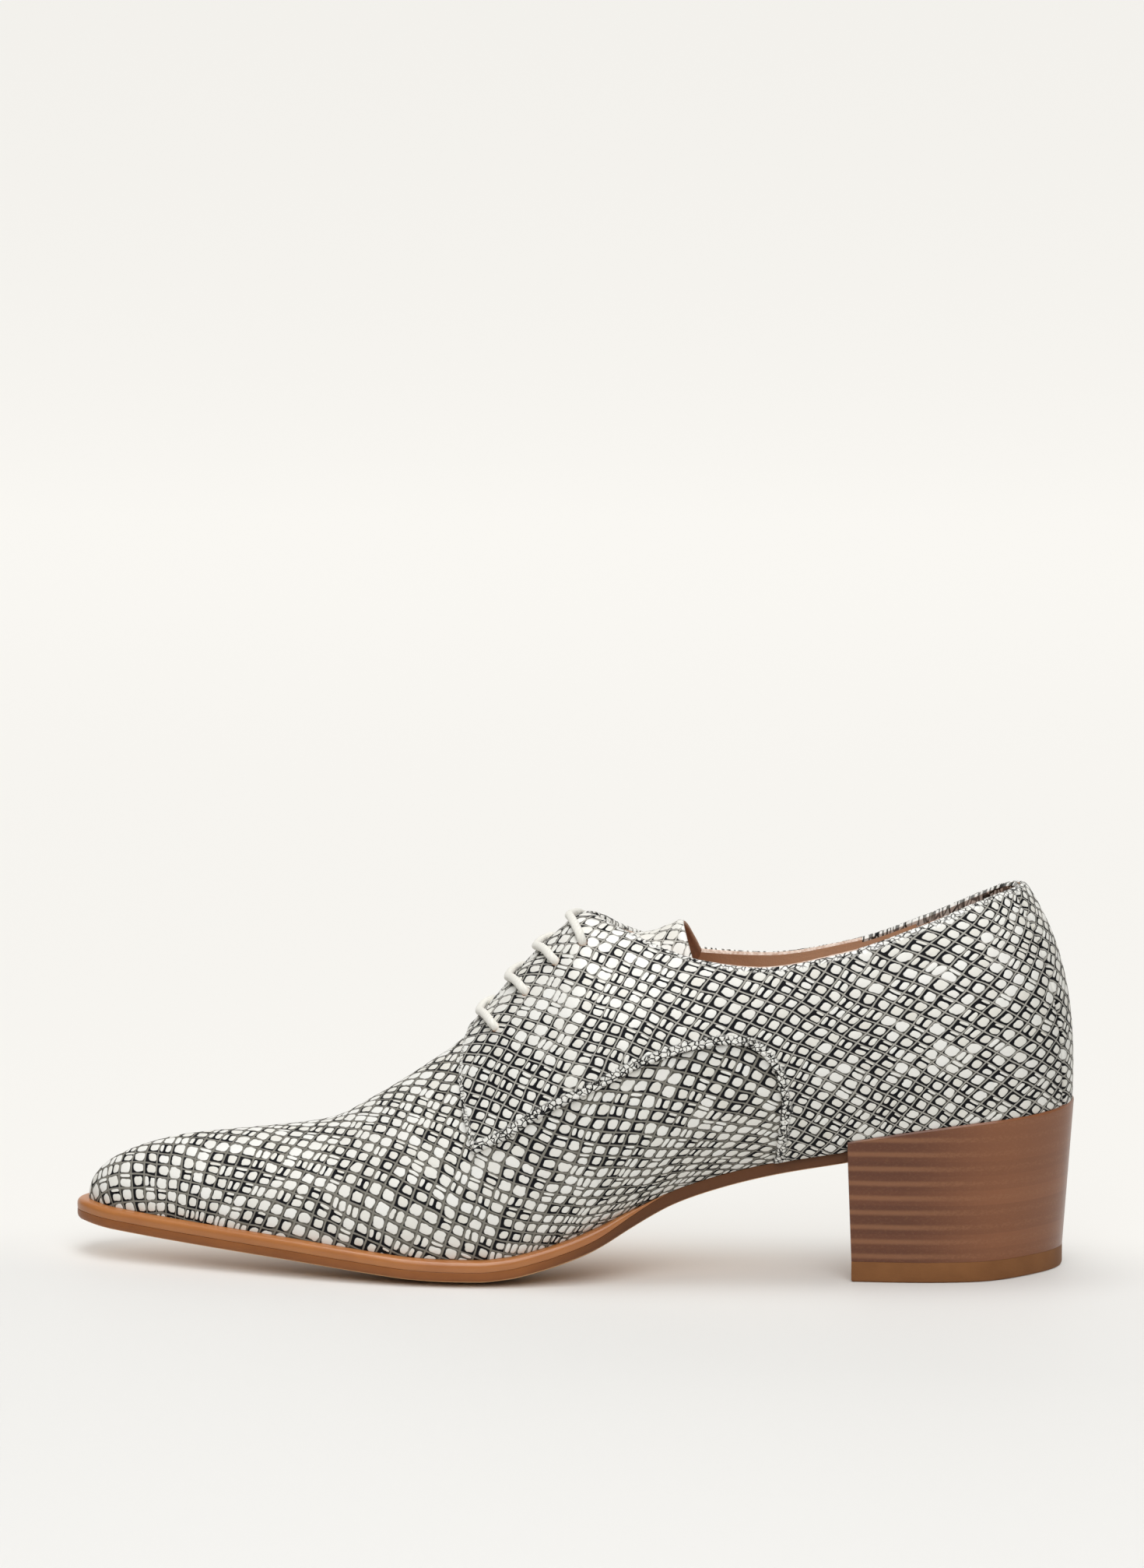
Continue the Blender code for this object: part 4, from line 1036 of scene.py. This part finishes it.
# Tongue: arched sheet under the facings, lined underneath
tonguePlan = {"under": 2.2, "thickness": 1.7, "stations": 90, "crowding": 1.3, "steps": 22,
              "netMiddle": 60.0, "edgeRound": 0.6, "edgeThin": 0.25,
              "endBow": (4.4, 4.6), "endDrop": 5.5, "endWidth": 16.2, "bowFade": (126.0, 107.0)}
tongueShape = columns(
    "along halfWidth crown",
    (105.5, 15.6, 95.3), (107, 16.9, 95.1), (109.5, 17.5, 94.1), (115, 17.9, 91.9), (121, 18.0, 91.3),
    (128, 17.5, 92.3), (134, 17.0, 91.8), (140, 16.5, 87.8), (150, 15.5, 76.8), (158, 14.5, 66.8),
    (170, 13.5, 55.7),
)


def tongueSection(along, steps):
    halfWidth, crown = (read(tongueShape, key, along) for key in ("halfWidth", "crown"))
    across = np.linspace(-halfWidth, halfWidth, 2 * steps + 1)
    grid = np.linspace(1, 0.3, 120)
    heights = np.empty_like(across)
    for side in (-1.0, 1.0):
        profile = lastSurface(along, side, grid, crown)
        here = across * side >= 0
        heights[here] = np.interp(np.abs(across[here]), np.abs(profile[:, 1]), profile[:, 2])
    corner = ease(*tonguePlan["bowFade"], along) * (across / tonguePlan["endWidth"]) ** 2
    bow = np.where(across < 0, *tonguePlan["endBow"]) * corner
    return stacked(along - bow, across, heights - tonguePlan["endDrop"] * corner)


def makeTongue():
    plan = tonguePlan
    span = tongueShape["along"]
    share = np.linspace(0, 1, plan["stations"]) ** plan["crowding"]  # closer at the free end
    along = span[0] + (span[-1] - span[0]) * share
    middle = np.array([tongueSection(a, plan["steps"]) for a in along])
    normal = unit(np.cross(np.gradient(middle, axis=0), np.gradient(middle, axis=1)))
    border = np.concatenate([middle[::-1, 0], middle[0], middle[:, -1]])
    thin = plan["edgeThin"]
    soft = thin + (1 - thin) * rounded(nearest(middle, border), plan["edgeRound"])
    soft = soft[..., None] * plan["thickness"] / 2
    heart = middle - normal * (plan["under"] + plan["thickness"] / 2)
    points = skins(heart + normal * soft, heart - normal * soft)
    net = netOver(middle[..., 0], plan["netMiddle"] + middle[..., 1], quarterLay, plan["netMiddle"])
    # underside and edge carry the lining darkened as painted shade
    materials = (tongueLeather, shadedTongueLining, shadedTongueLining)
    return makePiece("tongue_sheet", points, shellFaces(middle.shape[:2]), materials, onBoth(net))


upper = makeUpper()
quarters = {side: makeQuarter(side, name) for side, name in
            ((-1.0, "medial_quarter"), (1.0, "lateral_quarter"))}
strip = makeBackStrip()
tongue = makeTongue()
print("leather pieces shaped")

# Lace: four straight bars, joined under the facings, in punched holes without metal
lacePlan = {
    "diameter": 2.4, "holeReach": 16.4, "holeDiameter": 2.7, "holeSpan": (-3.0, 4.0), "bow": 1.1,
    "lie": 1.08, "sink": 0.6, "climb": 0.13,  # it climbs out of the hole over this share of the bar
    "squash": 0.88, "hiddenDepths": (-1.8, -1.0, 0.0), "hiddenSquash": 0.3, "hiddenShare": (0.12, 0.88),
    "sides": 12, "holeSides": 20, "barSteps": 30, "hiddenSteps": 12, "soften": 3,
}
laceHoles = columns("hole crossing", (153.6, 158.4), (145.6, 150.6), (137.6, 143.2), (131.2, 134.4))


def holePlace(number, side):
    hole = laceHoles["hole"][number]
    return hole, qAtWidth(np.array([hole]), side, lacePlan["holeReach"])[0]


def cutHoles():
    cutter = bmesh.new()
    radius = lacePlan["holeDiameter"] / 2 * mm
    for number in range(len(laceHoles["hole"])):
        for side in (-1.0, 1.0):
            hole, q = holePlace(number, side)
            ends = toWorld([offsetSurface(hole, side, q, d) for d in lacePlan["holeSpan"]])
            axis = Vector(ends[1] - ends[0])
            turn = axis.to_track_quat("Z", "Y").to_matrix().to_4x4()
            turn.translation = Vector(ends.mean(axis=0))
            bmesh.ops.create_cone(
                cutter, cap_ends=True, segments=lacePlan["holeSides"], radius1=radius, radius2=radius,
                depth=axis.length, matrix=turn,
            )
    mesh = bpy.data.meshes.new("holeCutter")
    cutter.to_mesh(mesh)
    cutter.free()
    mesh.polygons.foreach_set("material_index", [1] * len(mesh.polygons))
    punch = link("holeCutter", mesh)
    for piece in (upper, *quarters.values()):
        cut = piece.modifiers.new("lace holes", "BOOLEAN")
        cut.object = punch
        cut.operation = "DIFFERENCE"
        cut.solver = "EXACT"
        freeze(piece, cut)
    bpy.data.objects.remove(punch)


def barPath(number):
    plan = lacePlan
    crossing = laceHoles["crossing"][number]
    share = np.linspace(0, 1, plan["barSteps"])
    climb = np.sqrt(np.clip(1 - (1 - share / plan["climb"]) ** 2, 0, 1))
    climb = np.where(share > plan["climb"], 1, climb)
    lift = quarterPlan["face"] - plan["sink"] + (plan["lie"] + plan["sink"]) * climb
    paths, normals = [], []
    for side in (-1.0, 1.0):
        hole, start = holePlace(number, side)
        along = crossing + (hole - crossing) * (1 - share) ** plan["bow"]
        q = start + (1 - start) * share
        normal = outNormal(along, side, q)
        sunk = offsetSurface(np.full(3, hole), side, np.full(3, start), np.array(plan["hiddenDepths"]))
        paths.append(np.concatenate([sunk, offsetSurface(along, side, q, lift)]))
        normals.append(np.concatenate([np.repeat(normal[:1], 3, 0), normal]))
    middle = (paths[0][-1:] + paths[1][-1:]) / 2
    path = np.concatenate([paths[0][:-1], middle, paths[1][-2::-1]])
    normal = np.concatenate([normals[0][:-1], [[0.0, 0.0, 1.0]], normals[1][-2::-1]])
    return path, normal


def hiddenPath(first, second, side):
    (a, qa), (b, qb) = holePlace(first, side), holePlace(second, side)
    share = np.linspace(*lacePlan["hiddenShare"], lacePlan["hiddenSteps"])
    along, q = a + (b - a) * share, qa + (qb - qa) * share
    return offsetSurface(along, side, q, lacePlan["hiddenDepths"][0]), outNormal(along, side, q)


def makeLace():
    plan = lacePlan
    bars = [barPath(k) for k in range(4)]
    back = [(path[::-1], normal[::-1]) for path, normal in bars]
    route = [
        (hiddenPath(3, 2, -1.0), True), (bars[2], False), (hiddenPath(2, 0, 1.0), True), (back[0], False),
        (hiddenPath(0, 1, -1.0), True), (bars[1], False), (hiddenPath(1, 3, 1.0), True), (back[3], False),
    ]
    path = np.concatenate([leg[0] for leg, _ in route])
    normal = np.concatenate([leg[1] for leg, _ in route])
    squash = np.concatenate([
        np.full(len(leg[0]), plan["hiddenSquash"] if hidden else plan["squash"]) for leg, hidden in route
    ])
    for _ in range(plan["soften"]):  # soften the corners
        for values in (path, normal, squash):
            values[1:-1] = (values[:-2] + 2 * values[1:-1] + values[2:]) / 4
    normal = unit(normal)
    tangent = unit(np.gradient(path, axis=0))
    sideways = np.cross(tangent[0], normal[0])
    rings = []
    angle = np.linspace(0, 2 * math.pi, plan["sides"], endpoint=False)
    for p, t, n, k in zip(path, tangent, normal, squash):
        sideways = unit(sideways - t * (sideways @ t))
        other = np.cross(t, sideways)
        spoke = np.cos(angle)[:, None] * sideways + np.sin(angle)[:, None] * other
        spoke = spoke - (1 - k) * (spoke @ n)[:, None] * n
        rings.append(p + spoke * plan["diameter"] / 2)
    points = np.array(rings)
    run = runAlong(path)
    net = stacked(run[:, None], angle[None, :] * plan["diameter"] / 2)
    numbers = numbered(points)
    tube = quads(np.concatenate([numbers, numbers[:, :1]], axis=1))
    caps = [numbers[0].tolist(), numbers[-1].tolist()]
    print("lace length", round(run[-1]), "mm")
    return makePiece("lace", points, [(tube, 0), (caps, 0)], (laceCotton,), net)


# Stitches: short slanted threads with a dark bead between each two, painted shade in the needle hole
stitchPlan = {"Pitch": 1.7, "Length": 1.25, "Width": 0.3, "Hole": 0.32, "Slant": 9.0, "Seed": 7}
threadStretch = {"Min": (0.85, 0.85, 0.85), "Max": (1.1, 1.1, 1.0)}  # no two stitches quite alike
threadLook = {"colours": ("#e4e2da", "#d2cfc5"), "driftMm": 1.5, "poreMm": 0.3,
              "poreStrength": 0.3, "roughness": 0.6, "shine": 0.2}
sewingThread = tannedLeather("polyesterThread", threadLook)  # drift and pores stand for its fibres
# painted shade: a near-black bead for the shadow in each needle hole
holeShade, holeTree, holeShader = newMaterial("needleHoleShade")
wire(holeTree, holeShader, {"Base Color": linear("#1d1b1a"), "Roughness": 0.9})


def stitchTree():
    tree = bpy.data.node_groups.new("stitchRow", "GeometryNodeTree")
    tree.interface.new_socket("Geometry", in_out="INPUT", socket_type="NodeSocketGeometry")
    for key, value in stitchPlan.items():
        kind = "NodeSocketInt" if isinstance(value, int) else "NodeSocketFloat"
        tree.interface.new_socket(key, in_out="INPUT", socket_type=kind)
    tree.interface.new_socket("Geometry", in_out="OUTPUT", socket_type="NodeSocketGeometry")
    given = add(tree, "NodeGroupInput").outputs
    curve = add(tree, "GeometryNodeMeshToCurve", {0: given["Geometry"]})
    spaced = add(tree, "GeometryNodeResampleCurve", {0: curve, "Length": given["Pitch"]}, mode="LENGTH")
    out = add(tree, "GeometryNodeInputNamedAttribute", {"Name": "out"}, data_type="FLOAT_VECTOR")
    along = add(tree, "GeometryNodeInputTangent")
    turned = add(tree, "FunctionNodeAxesToRotation", {0: out, 1: along},
                 primary_axis="Z", secondary_axis="X")
    stretch = add(tree, "FunctionNodeRandomValue", {**threadStretch, "Seed": given["Seed"]},
                  data_type="FLOAT_VECTOR")
    bead = add(tree, "GeometryNodeMeshUVSphere", {"Segments": 8, "Rings": 5, "Radius": 0.5})
    thread = add(tree, "ShaderNodeCombineXYZ", {0: given["Length"], 1: given["Width"], 2: given["Width"]})
    threadSize = calcVector(tree, "MULTIPLY", thread, stretch)
    hole = add(tree, "ShaderNodeCombineXYZ", {0: given["Hole"], 1: given["Hole"], 2: given["Hole"]})
    ahead = add(tree, "ShaderNodeCombineXYZ", {0: calc(tree, "MULTIPLY", given["Pitch"], 0.5)})
    slant = add(tree, "FunctionNodeEulerToRotation",
                {0: add(tree, "ShaderNodeCombineXYZ", {2: given["Slant"]})})
    joined = add(tree, "GeometryNodeJoinGeometry")
    for size, material, move, change in (
        (threadSize, sewingThread, "GeometryNodeRotateInstances", {"Rotation": slant}),
        (hole, holeShade, "GeometryNodeTranslateInstances", {"Translation": ahead}),
    ):
        beads = add(tree, "GeometryNodeInstanceOnPoints",
                    {"Points": spaced, "Instance": bead.outputs["Mesh"], "Rotation": turned, "Scale": size})
        moved = add(tree, move, {0: beads, **change})
        real = add(tree, "GeometryNodeRealizeInstances", {0: moved})
        painted = add(tree, "GeometryNodeSetMaterial", {0: real, "Material": material})
        tree.links.new(painted.outputs[0], joined.inputs[0])
    add(tree, "NodeGroupOutput", {0: joined})
    return tree


def makeStitches():
    points = np.concatenate([toWorld(line[:, 0]) for line in stitchLines])
    outs = np.concatenate([line[:, 1] for line in stitchLines]) * (-1, 1, 1)
    edges, start = [], 0
    for line in stitchLines:
        edges += [(start + k, start + k + 1) for k in range(len(line) - 1)]
        start += len(line)
    mesh = bpy.data.meshes.new("stitches")
    mesh.from_pydata(points.tolist(), edges, [])
    mesh.attributes.new("out", "FLOAT_VECTOR", "POINT").data.foreach_set("vector", outs.ravel())
    piece = link("stitches", mesh)
    sewing = piece.modifiers.new("stitch row", "NODES")
    sewing.node_group = stitchTree()
    values = {key: value * mm for key, value in stitchPlan.items()}
    values |= {"Slant": math.radians(stitchPlan["Slant"]), "Seed": stitchPlan["Seed"]}
    for socket in sewing.node_group.interface.items_tree:
        if socket.in_out == "INPUT" and socket.name in values:
            sewing[socket.identifier] = values[socket.name]
    freeze(piece, sewing)
    piece.data.shade_smooth()
    return piece


cutHoles()
lace = makeLace()
stitches = makeStitches()
settle(stitches, "lace_cord")
settle(upper, "embossed_leather", "upper")
settle(quarters[-1.0], "embossed_leather", "quarter_medial")
settle(quarters[1.0], "embossed_leather", "quarter_lateral")
settle(strip, "embossed_leather", "back_strip")
settle(tongue, "embossed_leather", "tongue")
settle(lace, "lace_cord", *[f"lace_bar_{k}" for k in range(1, 5)])

# Sole: welt and outsole follow the feather line, the heel stands under its back
solePlan = {
    "margin": 3.2, "waistMargin": 0.2, "weltThickness": 2.8, "weltEnd": 108.0, "weltTaper": 24.0,
    "weltLead": 2.0, "weltInner": 8.0, "outsoleThickness": 4.0, "seatThickness": 3.2, "thickenOver": 50.0,
    "crown": 1.2, "seam": 0.05, "stations": 170, "tread": (150.0, 180.0),
}


def outline(along):
    line = np.array([wallFrame(along, np.array(side))[0][:, :2] for side in (-1.0, 1.0)])
    loop = np.concatenate([line[0], line[1][-2:0:-1]])
    tangent = unit(np.roll(loop, -1, axis=0) - np.roll(loop, 1, axis=0))
    normal = stacked(tangent[:, 1], -tangent[:, 0])
    count = len(along)
    lateral = np.concatenate([normal[:1], normal[count:][::-1], normal[count - 1 : count]])
    return line, np.array([normal[:count], lateral])


def weltShare(along):
    return ease(0, 1, (along - solePlan["weltEnd"] + solePlan["weltLead"]) / solePlan["weltTaper"])


def soleMargin(along):
    waist = solePlan["waistMargin"]
    return waist + (solePlan["margin"] - waist) * weltShare(along)


def outsoleTop(along):
    seam = solePlan["seam"]
    return bottomHeight(along) - seam - (solePlan["weltThickness"] + seam) * weltShare(along)


def outsoleBottom(along):
    seat = solePlan["seatThickness"]
    forward = np.clip((along - quarterCut["heelBreast"]) / solePlan["thickenOver"], 0, 1)
    return outsoleTop(along) - seat - (solePlan["outsoleThickness"] - solePlan["seam"] - seat) * forward


def treadEdge(along):  # the forepart is crowned, so its edge stands a little off the floor
    return outsoleBottom(along) + solePlan["crown"] * weltShare(along)


def weltBottom(along):
    return outsoleTop(along) + solePlan["seam"]


def weltTop(along):
    return bottomHeight(along) - solePlan["seam"]


def raised(plan, height, lift=0.0):
    return np.concatenate([plan, (height(plan[..., 0]) + lift)[..., None]], -1)


def closeEnds(points):
    points[1, 0], points[1, -1] = points[0, 0], points[0, -1]
    return points


def soleStations():
    start, end = solePlan["tread"]
    tread = [x for x in bottomLine["along"] if start < x < end]
    return np.unique(np.concatenate([stations(solePlan["stations"]), tread]))


def makeOutsole():
    along = soleStations()
    line, normal = outline(along)
    profile = (  # out past the margin, level, lift from it
        (-0.1, outsoleTop, 0.0), (-0.03, outsoleTop, -0.04), (0.0, outsoleTop, -0.2),
        (0.02, treadEdge, 1.4), (-0.1, treadEdge, 0.8), (-0.45, treadEdge, 0.3),
        (-1.0, treadEdge, 0.0), (-6.0, outsoleBottom, 0.0),
    )
    loops = []
    for out, height, lift in profile:
        ring = line + normal * (soleMargin(along) + out)[None, :, None]
        loops.append(closeEnds(raised(ring, height, lift)))
    points = np.array(loops)
    numbers = numbered(points)
    side = quads(numbers[:6, 0]) + quads(numbers[:6, 1])
    lower = quads(numbers[5:, 0]) + quads(numbers[5:, 1]) + quads(numbers[-1])
    return makePiece("outsole_board", points, [(side, 0), (lower, 1), (quads(numbers[0]), 0)],
                     (outsoleLeather, treadLeather), sharp=50)


def makeWelt():
    plan = solePlan
    along = soleStations()
    along = np.concatenate([[plan["weltEnd"]], along[along > plan["weltEnd"] + 0.5]])
    line, normal = outline(along)
    inward = np.array([-wallFrame(along, np.array(side))[2] for side in (-1.0, 1.0)])
    profile = []
    for out, lift in (  # out past the margin, share of the thickness
        (-0.1, 0.0), (-0.03, 0.02), (0.0, 0.09), (0.04, 0.4), (0.0, 0.62), (-0.25, 0.82),
        (-0.7, 0.95), (-1.4, 1.0),
    ):
        ring = line + normal * (soleMargin(along) + out * weltShare(along))[None, :, None]
        foot, top = raised(ring, weltBottom), raised(ring, weltTop)
        profile.append(foot + (top - foot) * lift)
    innerLine = line + inward * plan["weltInner"]
    profile += [raised(innerLine, weltTop), raised(innerLine, weltBottom)]
    rings = []
    for points in profile:
        points[1, -1] = points[0, -1]
        rings.append(np.concatenate([points[0], points[1][-2::-1]]))
    points = np.array(rings)
    numbers = numbered(points)
    skin = quads(np.concatenate([numbers, numbers[:1]]))
    ends = [numbers[:, 0].tolist(), numbers[:, -1].tolist()]
    return makePiece("welt_strip", points, [(skin, 0), (ends, 0)], (weltLeather,), sharp=50)


heelPlan = {
    "breastFoot": 58.9, "taper": 2.8, "cornerTaper": 2.6, "rimProud": 2.2,
    "edge": 0.35, "edgeShare": 1 / 30,  # the rim's rounding, and its share of the way down
    "liftThickness": 5.6, "liftEdge": ((0.7, 0.0), (0.25, 0.15), (0.0, 0.7)), "stations": 60,
}


def heelRings(along):
    plan, cut, seam = heelPlan, quarterCut, solePlan["seam"]
    rings = []
    for side in (-1.0, 1.0):
        foot, _, outward = wallFrame(along, side)
        rimHeight = foot[:, 2] + cut["heelRim"]
        rimQ = qAtHeight(along, side, rimHeight)
        wall = lastSurface(along, side, rimQ)
        rim = np.concatenate([wall[:, :2] + outward * plan["rimProud"], rimHeight[:, None]], -1)
        corner = (2 * outward[:, 0] * outward[:, 1]) ** 2
        base = rim.copy()
        base[:, :2] -= outward * (plan["taper"] + plan["cornerTaper"] * corner)[:, None]
        base[:, 0] *= plan["breastFoot"] / cut["heelBreast"]
        base[:, 2] = plan["liftThickness"] + seam
        inside = offsetSurface(along, side, rimQ, seam)
        seatLine = foot[:, :2] + outward * (solePlan["waistMargin"] + 2 * seam)
        seatEdge = raised(seatLine, bottomHeight, -seam)
        seat = raised(seatLine, outsoleBottom, -seam)
        nearRim = rim + (base - rim) * (plan["edge"] * plan["edgeShare"])
        roundRim = rim.copy()
        roundRim[:, :2] -= outward * plan["edge"]
        rings.append([base, nearRim, roundRim, inside, seatEdge, seat])
    return np.array(rings)


def makeHeel():
    plan = heelPlan
    along = stations(plan["stations"], last["heelBack"], quarterCut["heelBreast"])
    rings = heelRings(along)
    rings[1, :, 0] = rings[0, :, 0]
    rings[:, :, 0, 1] = 0
    numbers = numbered(rings)
    faces = quads(numbers[0]) + quads(numbers[1]) + quads(numbers[:, 0]) + quads(numbers[:, -1])
    breast = [[*numbers[0, :, -1].tolist(), *numbers[1, ::-1, -1].tolist()]]
    stack = makePiece("heel_layers", rings, [(faces, 0), (breast, 0)], (heelLeather,), sharp=35)
    base = rings[:, 0]
    toward = unit(base[..., :2] - np.array([plan["breastFoot"] / 2, 0.0]))
    levels = []
    for inset, height in (*plan["liftEdge"], (0.0, plan["liftThickness"])):
        ring = base.copy()
        ring[..., :2] -= toward * inset
        ring[..., 2] = height
        levels.append(ring)
    levels = np.array(levels)
    numbers = numbered(levels)
    faces = quads(numbers[:, 0]) + quads(numbers[:, 1]) + quads(numbers[:, :, -1])
    caps = [[*ring[0].tolist(), *ring[1, :0:-1].tolist()] for ring in (numbers[0], numbers[-1])]
    lift = makePiece("lift_pad", levels, [(faces, 0), (caps, 0)], (liftRubber,), sharp=50)
    return stack, lift


insolePlan = {"margin": 2.2, "thickness": 2.4, "stations": 120, "columns": 25, "cup": 0.48, "gap": 0.3,
              "ends": (3.0, 6.0)}


def makeInsole():
    plan = insolePlan
    heelIn, toeIn = plan["ends"]
    along = stations(plan["stations"], last["heelBack"] + heelIn, last["toeTip"] - toeIn)
    across = np.linspace(-1, 1, plan["columns"])
    ends = [wallFrame(along, side) for side in (-1.0, 1.0)]
    edge = [foot[:, :2] - outward * plan["margin"] for foot, _, outward in ends]
    share = ((across + 1) / 2)[None, :, None]
    flat = edge[0][:, None] + (edge[1] - edge[0])[:, None] * share
    lower = raised(flat, bottomHeight, plan["gap"])
    top = raised(flat, bottomHeight, plan["gap"] + plan["thickness"])
    top[..., 2] += plan["cup"] * (np.abs(across) ** 4)[None, :]
    points = skins(top, lower)
    return makePiece("sock_insole", points, shellFaces(flat.shape[:2]), (sockLeather,) * 3, sharp=60)


settle(makeWelt(), "welt_leather", "welt")
settle(makeOutsole(), "outsole_leather", "outsole")
heelStack, heelLift = makeHeel()
settle(heelStack, "stacked_leather", "heel_stack")
settle(heelLift, "lift_rubber", "heel_lift")
settle(makeInsole(), "lining_leather", "insole")

# Stage: pale floor running up into a backdrop, glowing behind the shoe as painted light that fills the
# shoe's shadow there, with a soft light above, a larger one high in front and a dim white room
stagePlan = {
    "floorColours": ("#e0dfdc", "#666563"), "glowColour": "#fffdf8", "roughness": 0.6, "shine": 0.2,
    "nearGlow": 0.75, "nearMm": (-32.0, 34.0), "farGlow": 0.07, "farMm": (250.0, 1500.0),
    "width": 8000.0, "front": -2500.0, "back": 3000.0, "bend": 1500.0, "bendSteps": 17, "height": 3000.0,
    "room": 0.13, "roomColour": (1.0, 1.0, 0.995, 1), "aim": (0.0, 0.0, 40.0),
}
lightPlan = columns(
    "x y z size power",
    (-50, -60, 1300, 700, 9.3),
    (150, -1250, 1500, 1500, 26.5),
)


def makeFloor():
    plan = stagePlan
    level = plan["back"] - plan["bend"]
    side = [(plan["front"], 0.0), (level, 0.0)]
    for angle in np.linspace(0, math.pi / 2, plan["bendSteps"])[1:]:
        side.append((level + plan["bend"] * math.sin(angle), plan["bend"] * (1 - math.cos(angle))))
    side.append((plan["back"], plan["height"]))
    points = [(x * mm, y * mm, z * mm) for y, z in side for x in (-plan["width"] / 2, plan["width"] / 2)]
    faces = [(2 * k, 2 * k + 1, 2 * k + 3, 2 * k + 2) for k in range(len(side) - 1)]
    mesh = bpy.data.meshes.new("studioFloor")
    mesh.from_pydata(points, [], faces)
    mesh.shade_smooth()
    # painted light: the floor glows behind the shoe to fill the shoe's shadow, its base colour darker
    # there, and glows a little more far off, so the floor has no horizon
    material, tree, shader = newMaterial("glowingSweepPaintedLight")
    away = axes(tree, objectPlace(tree))["Y"]
    near, far = (remap(tree, away, [y * mm for y in plan[key]], soft=True) for key in ("nearMm", "farMm"))
    farGlow = calc(tree, "MULTIPLY", far, plan["farGlow"])
    wire(tree, shader, {
        "Base Color": mixColour(tree, near, *plan["floorColours"]),
        "Emission Color": linear(plan["glowColour"]),
        "Emission Strength": calc(tree, "MULTIPLY_ADD", near, plan["nearGlow"], farGlow),
        "Roughness": plan["roughness"], "Specular IOR Level": plan["shine"],
    })
    mesh.materials.append(material)
    link("studioFloor", mesh)


def makeLights():
    for k, (x, y, z, size, power) in enumerate(zip(*lightPlan.values())):
        data = bpy.data.lights.new(f"softbox{k}", "AREA")
        data.size = size * mm
        data.energy = power
        light = link(f"softbox{k}", data)
        light.location = Vector((x, y, z)) * mm
        toLight = light.location - Vector(stagePlan["aim"]) * mm
        light.rotation_euler = toLight.to_track_quat("Z", "Y").to_euler()
    world = bpy.data.worlds.new("whiteRoom")
    world.use_nodes = True
    background = world.node_tree.nodes["Background"]
    wire(world.node_tree, background, {"Color": stagePlan["roomColour"], "Strength": stagePlan["room"]})
    bpy.context.scene.world = world
    bpy.context.scene.view_settings.view_transform = "Standard"


makeFloor()
makeLights()
print("stage and lights set")
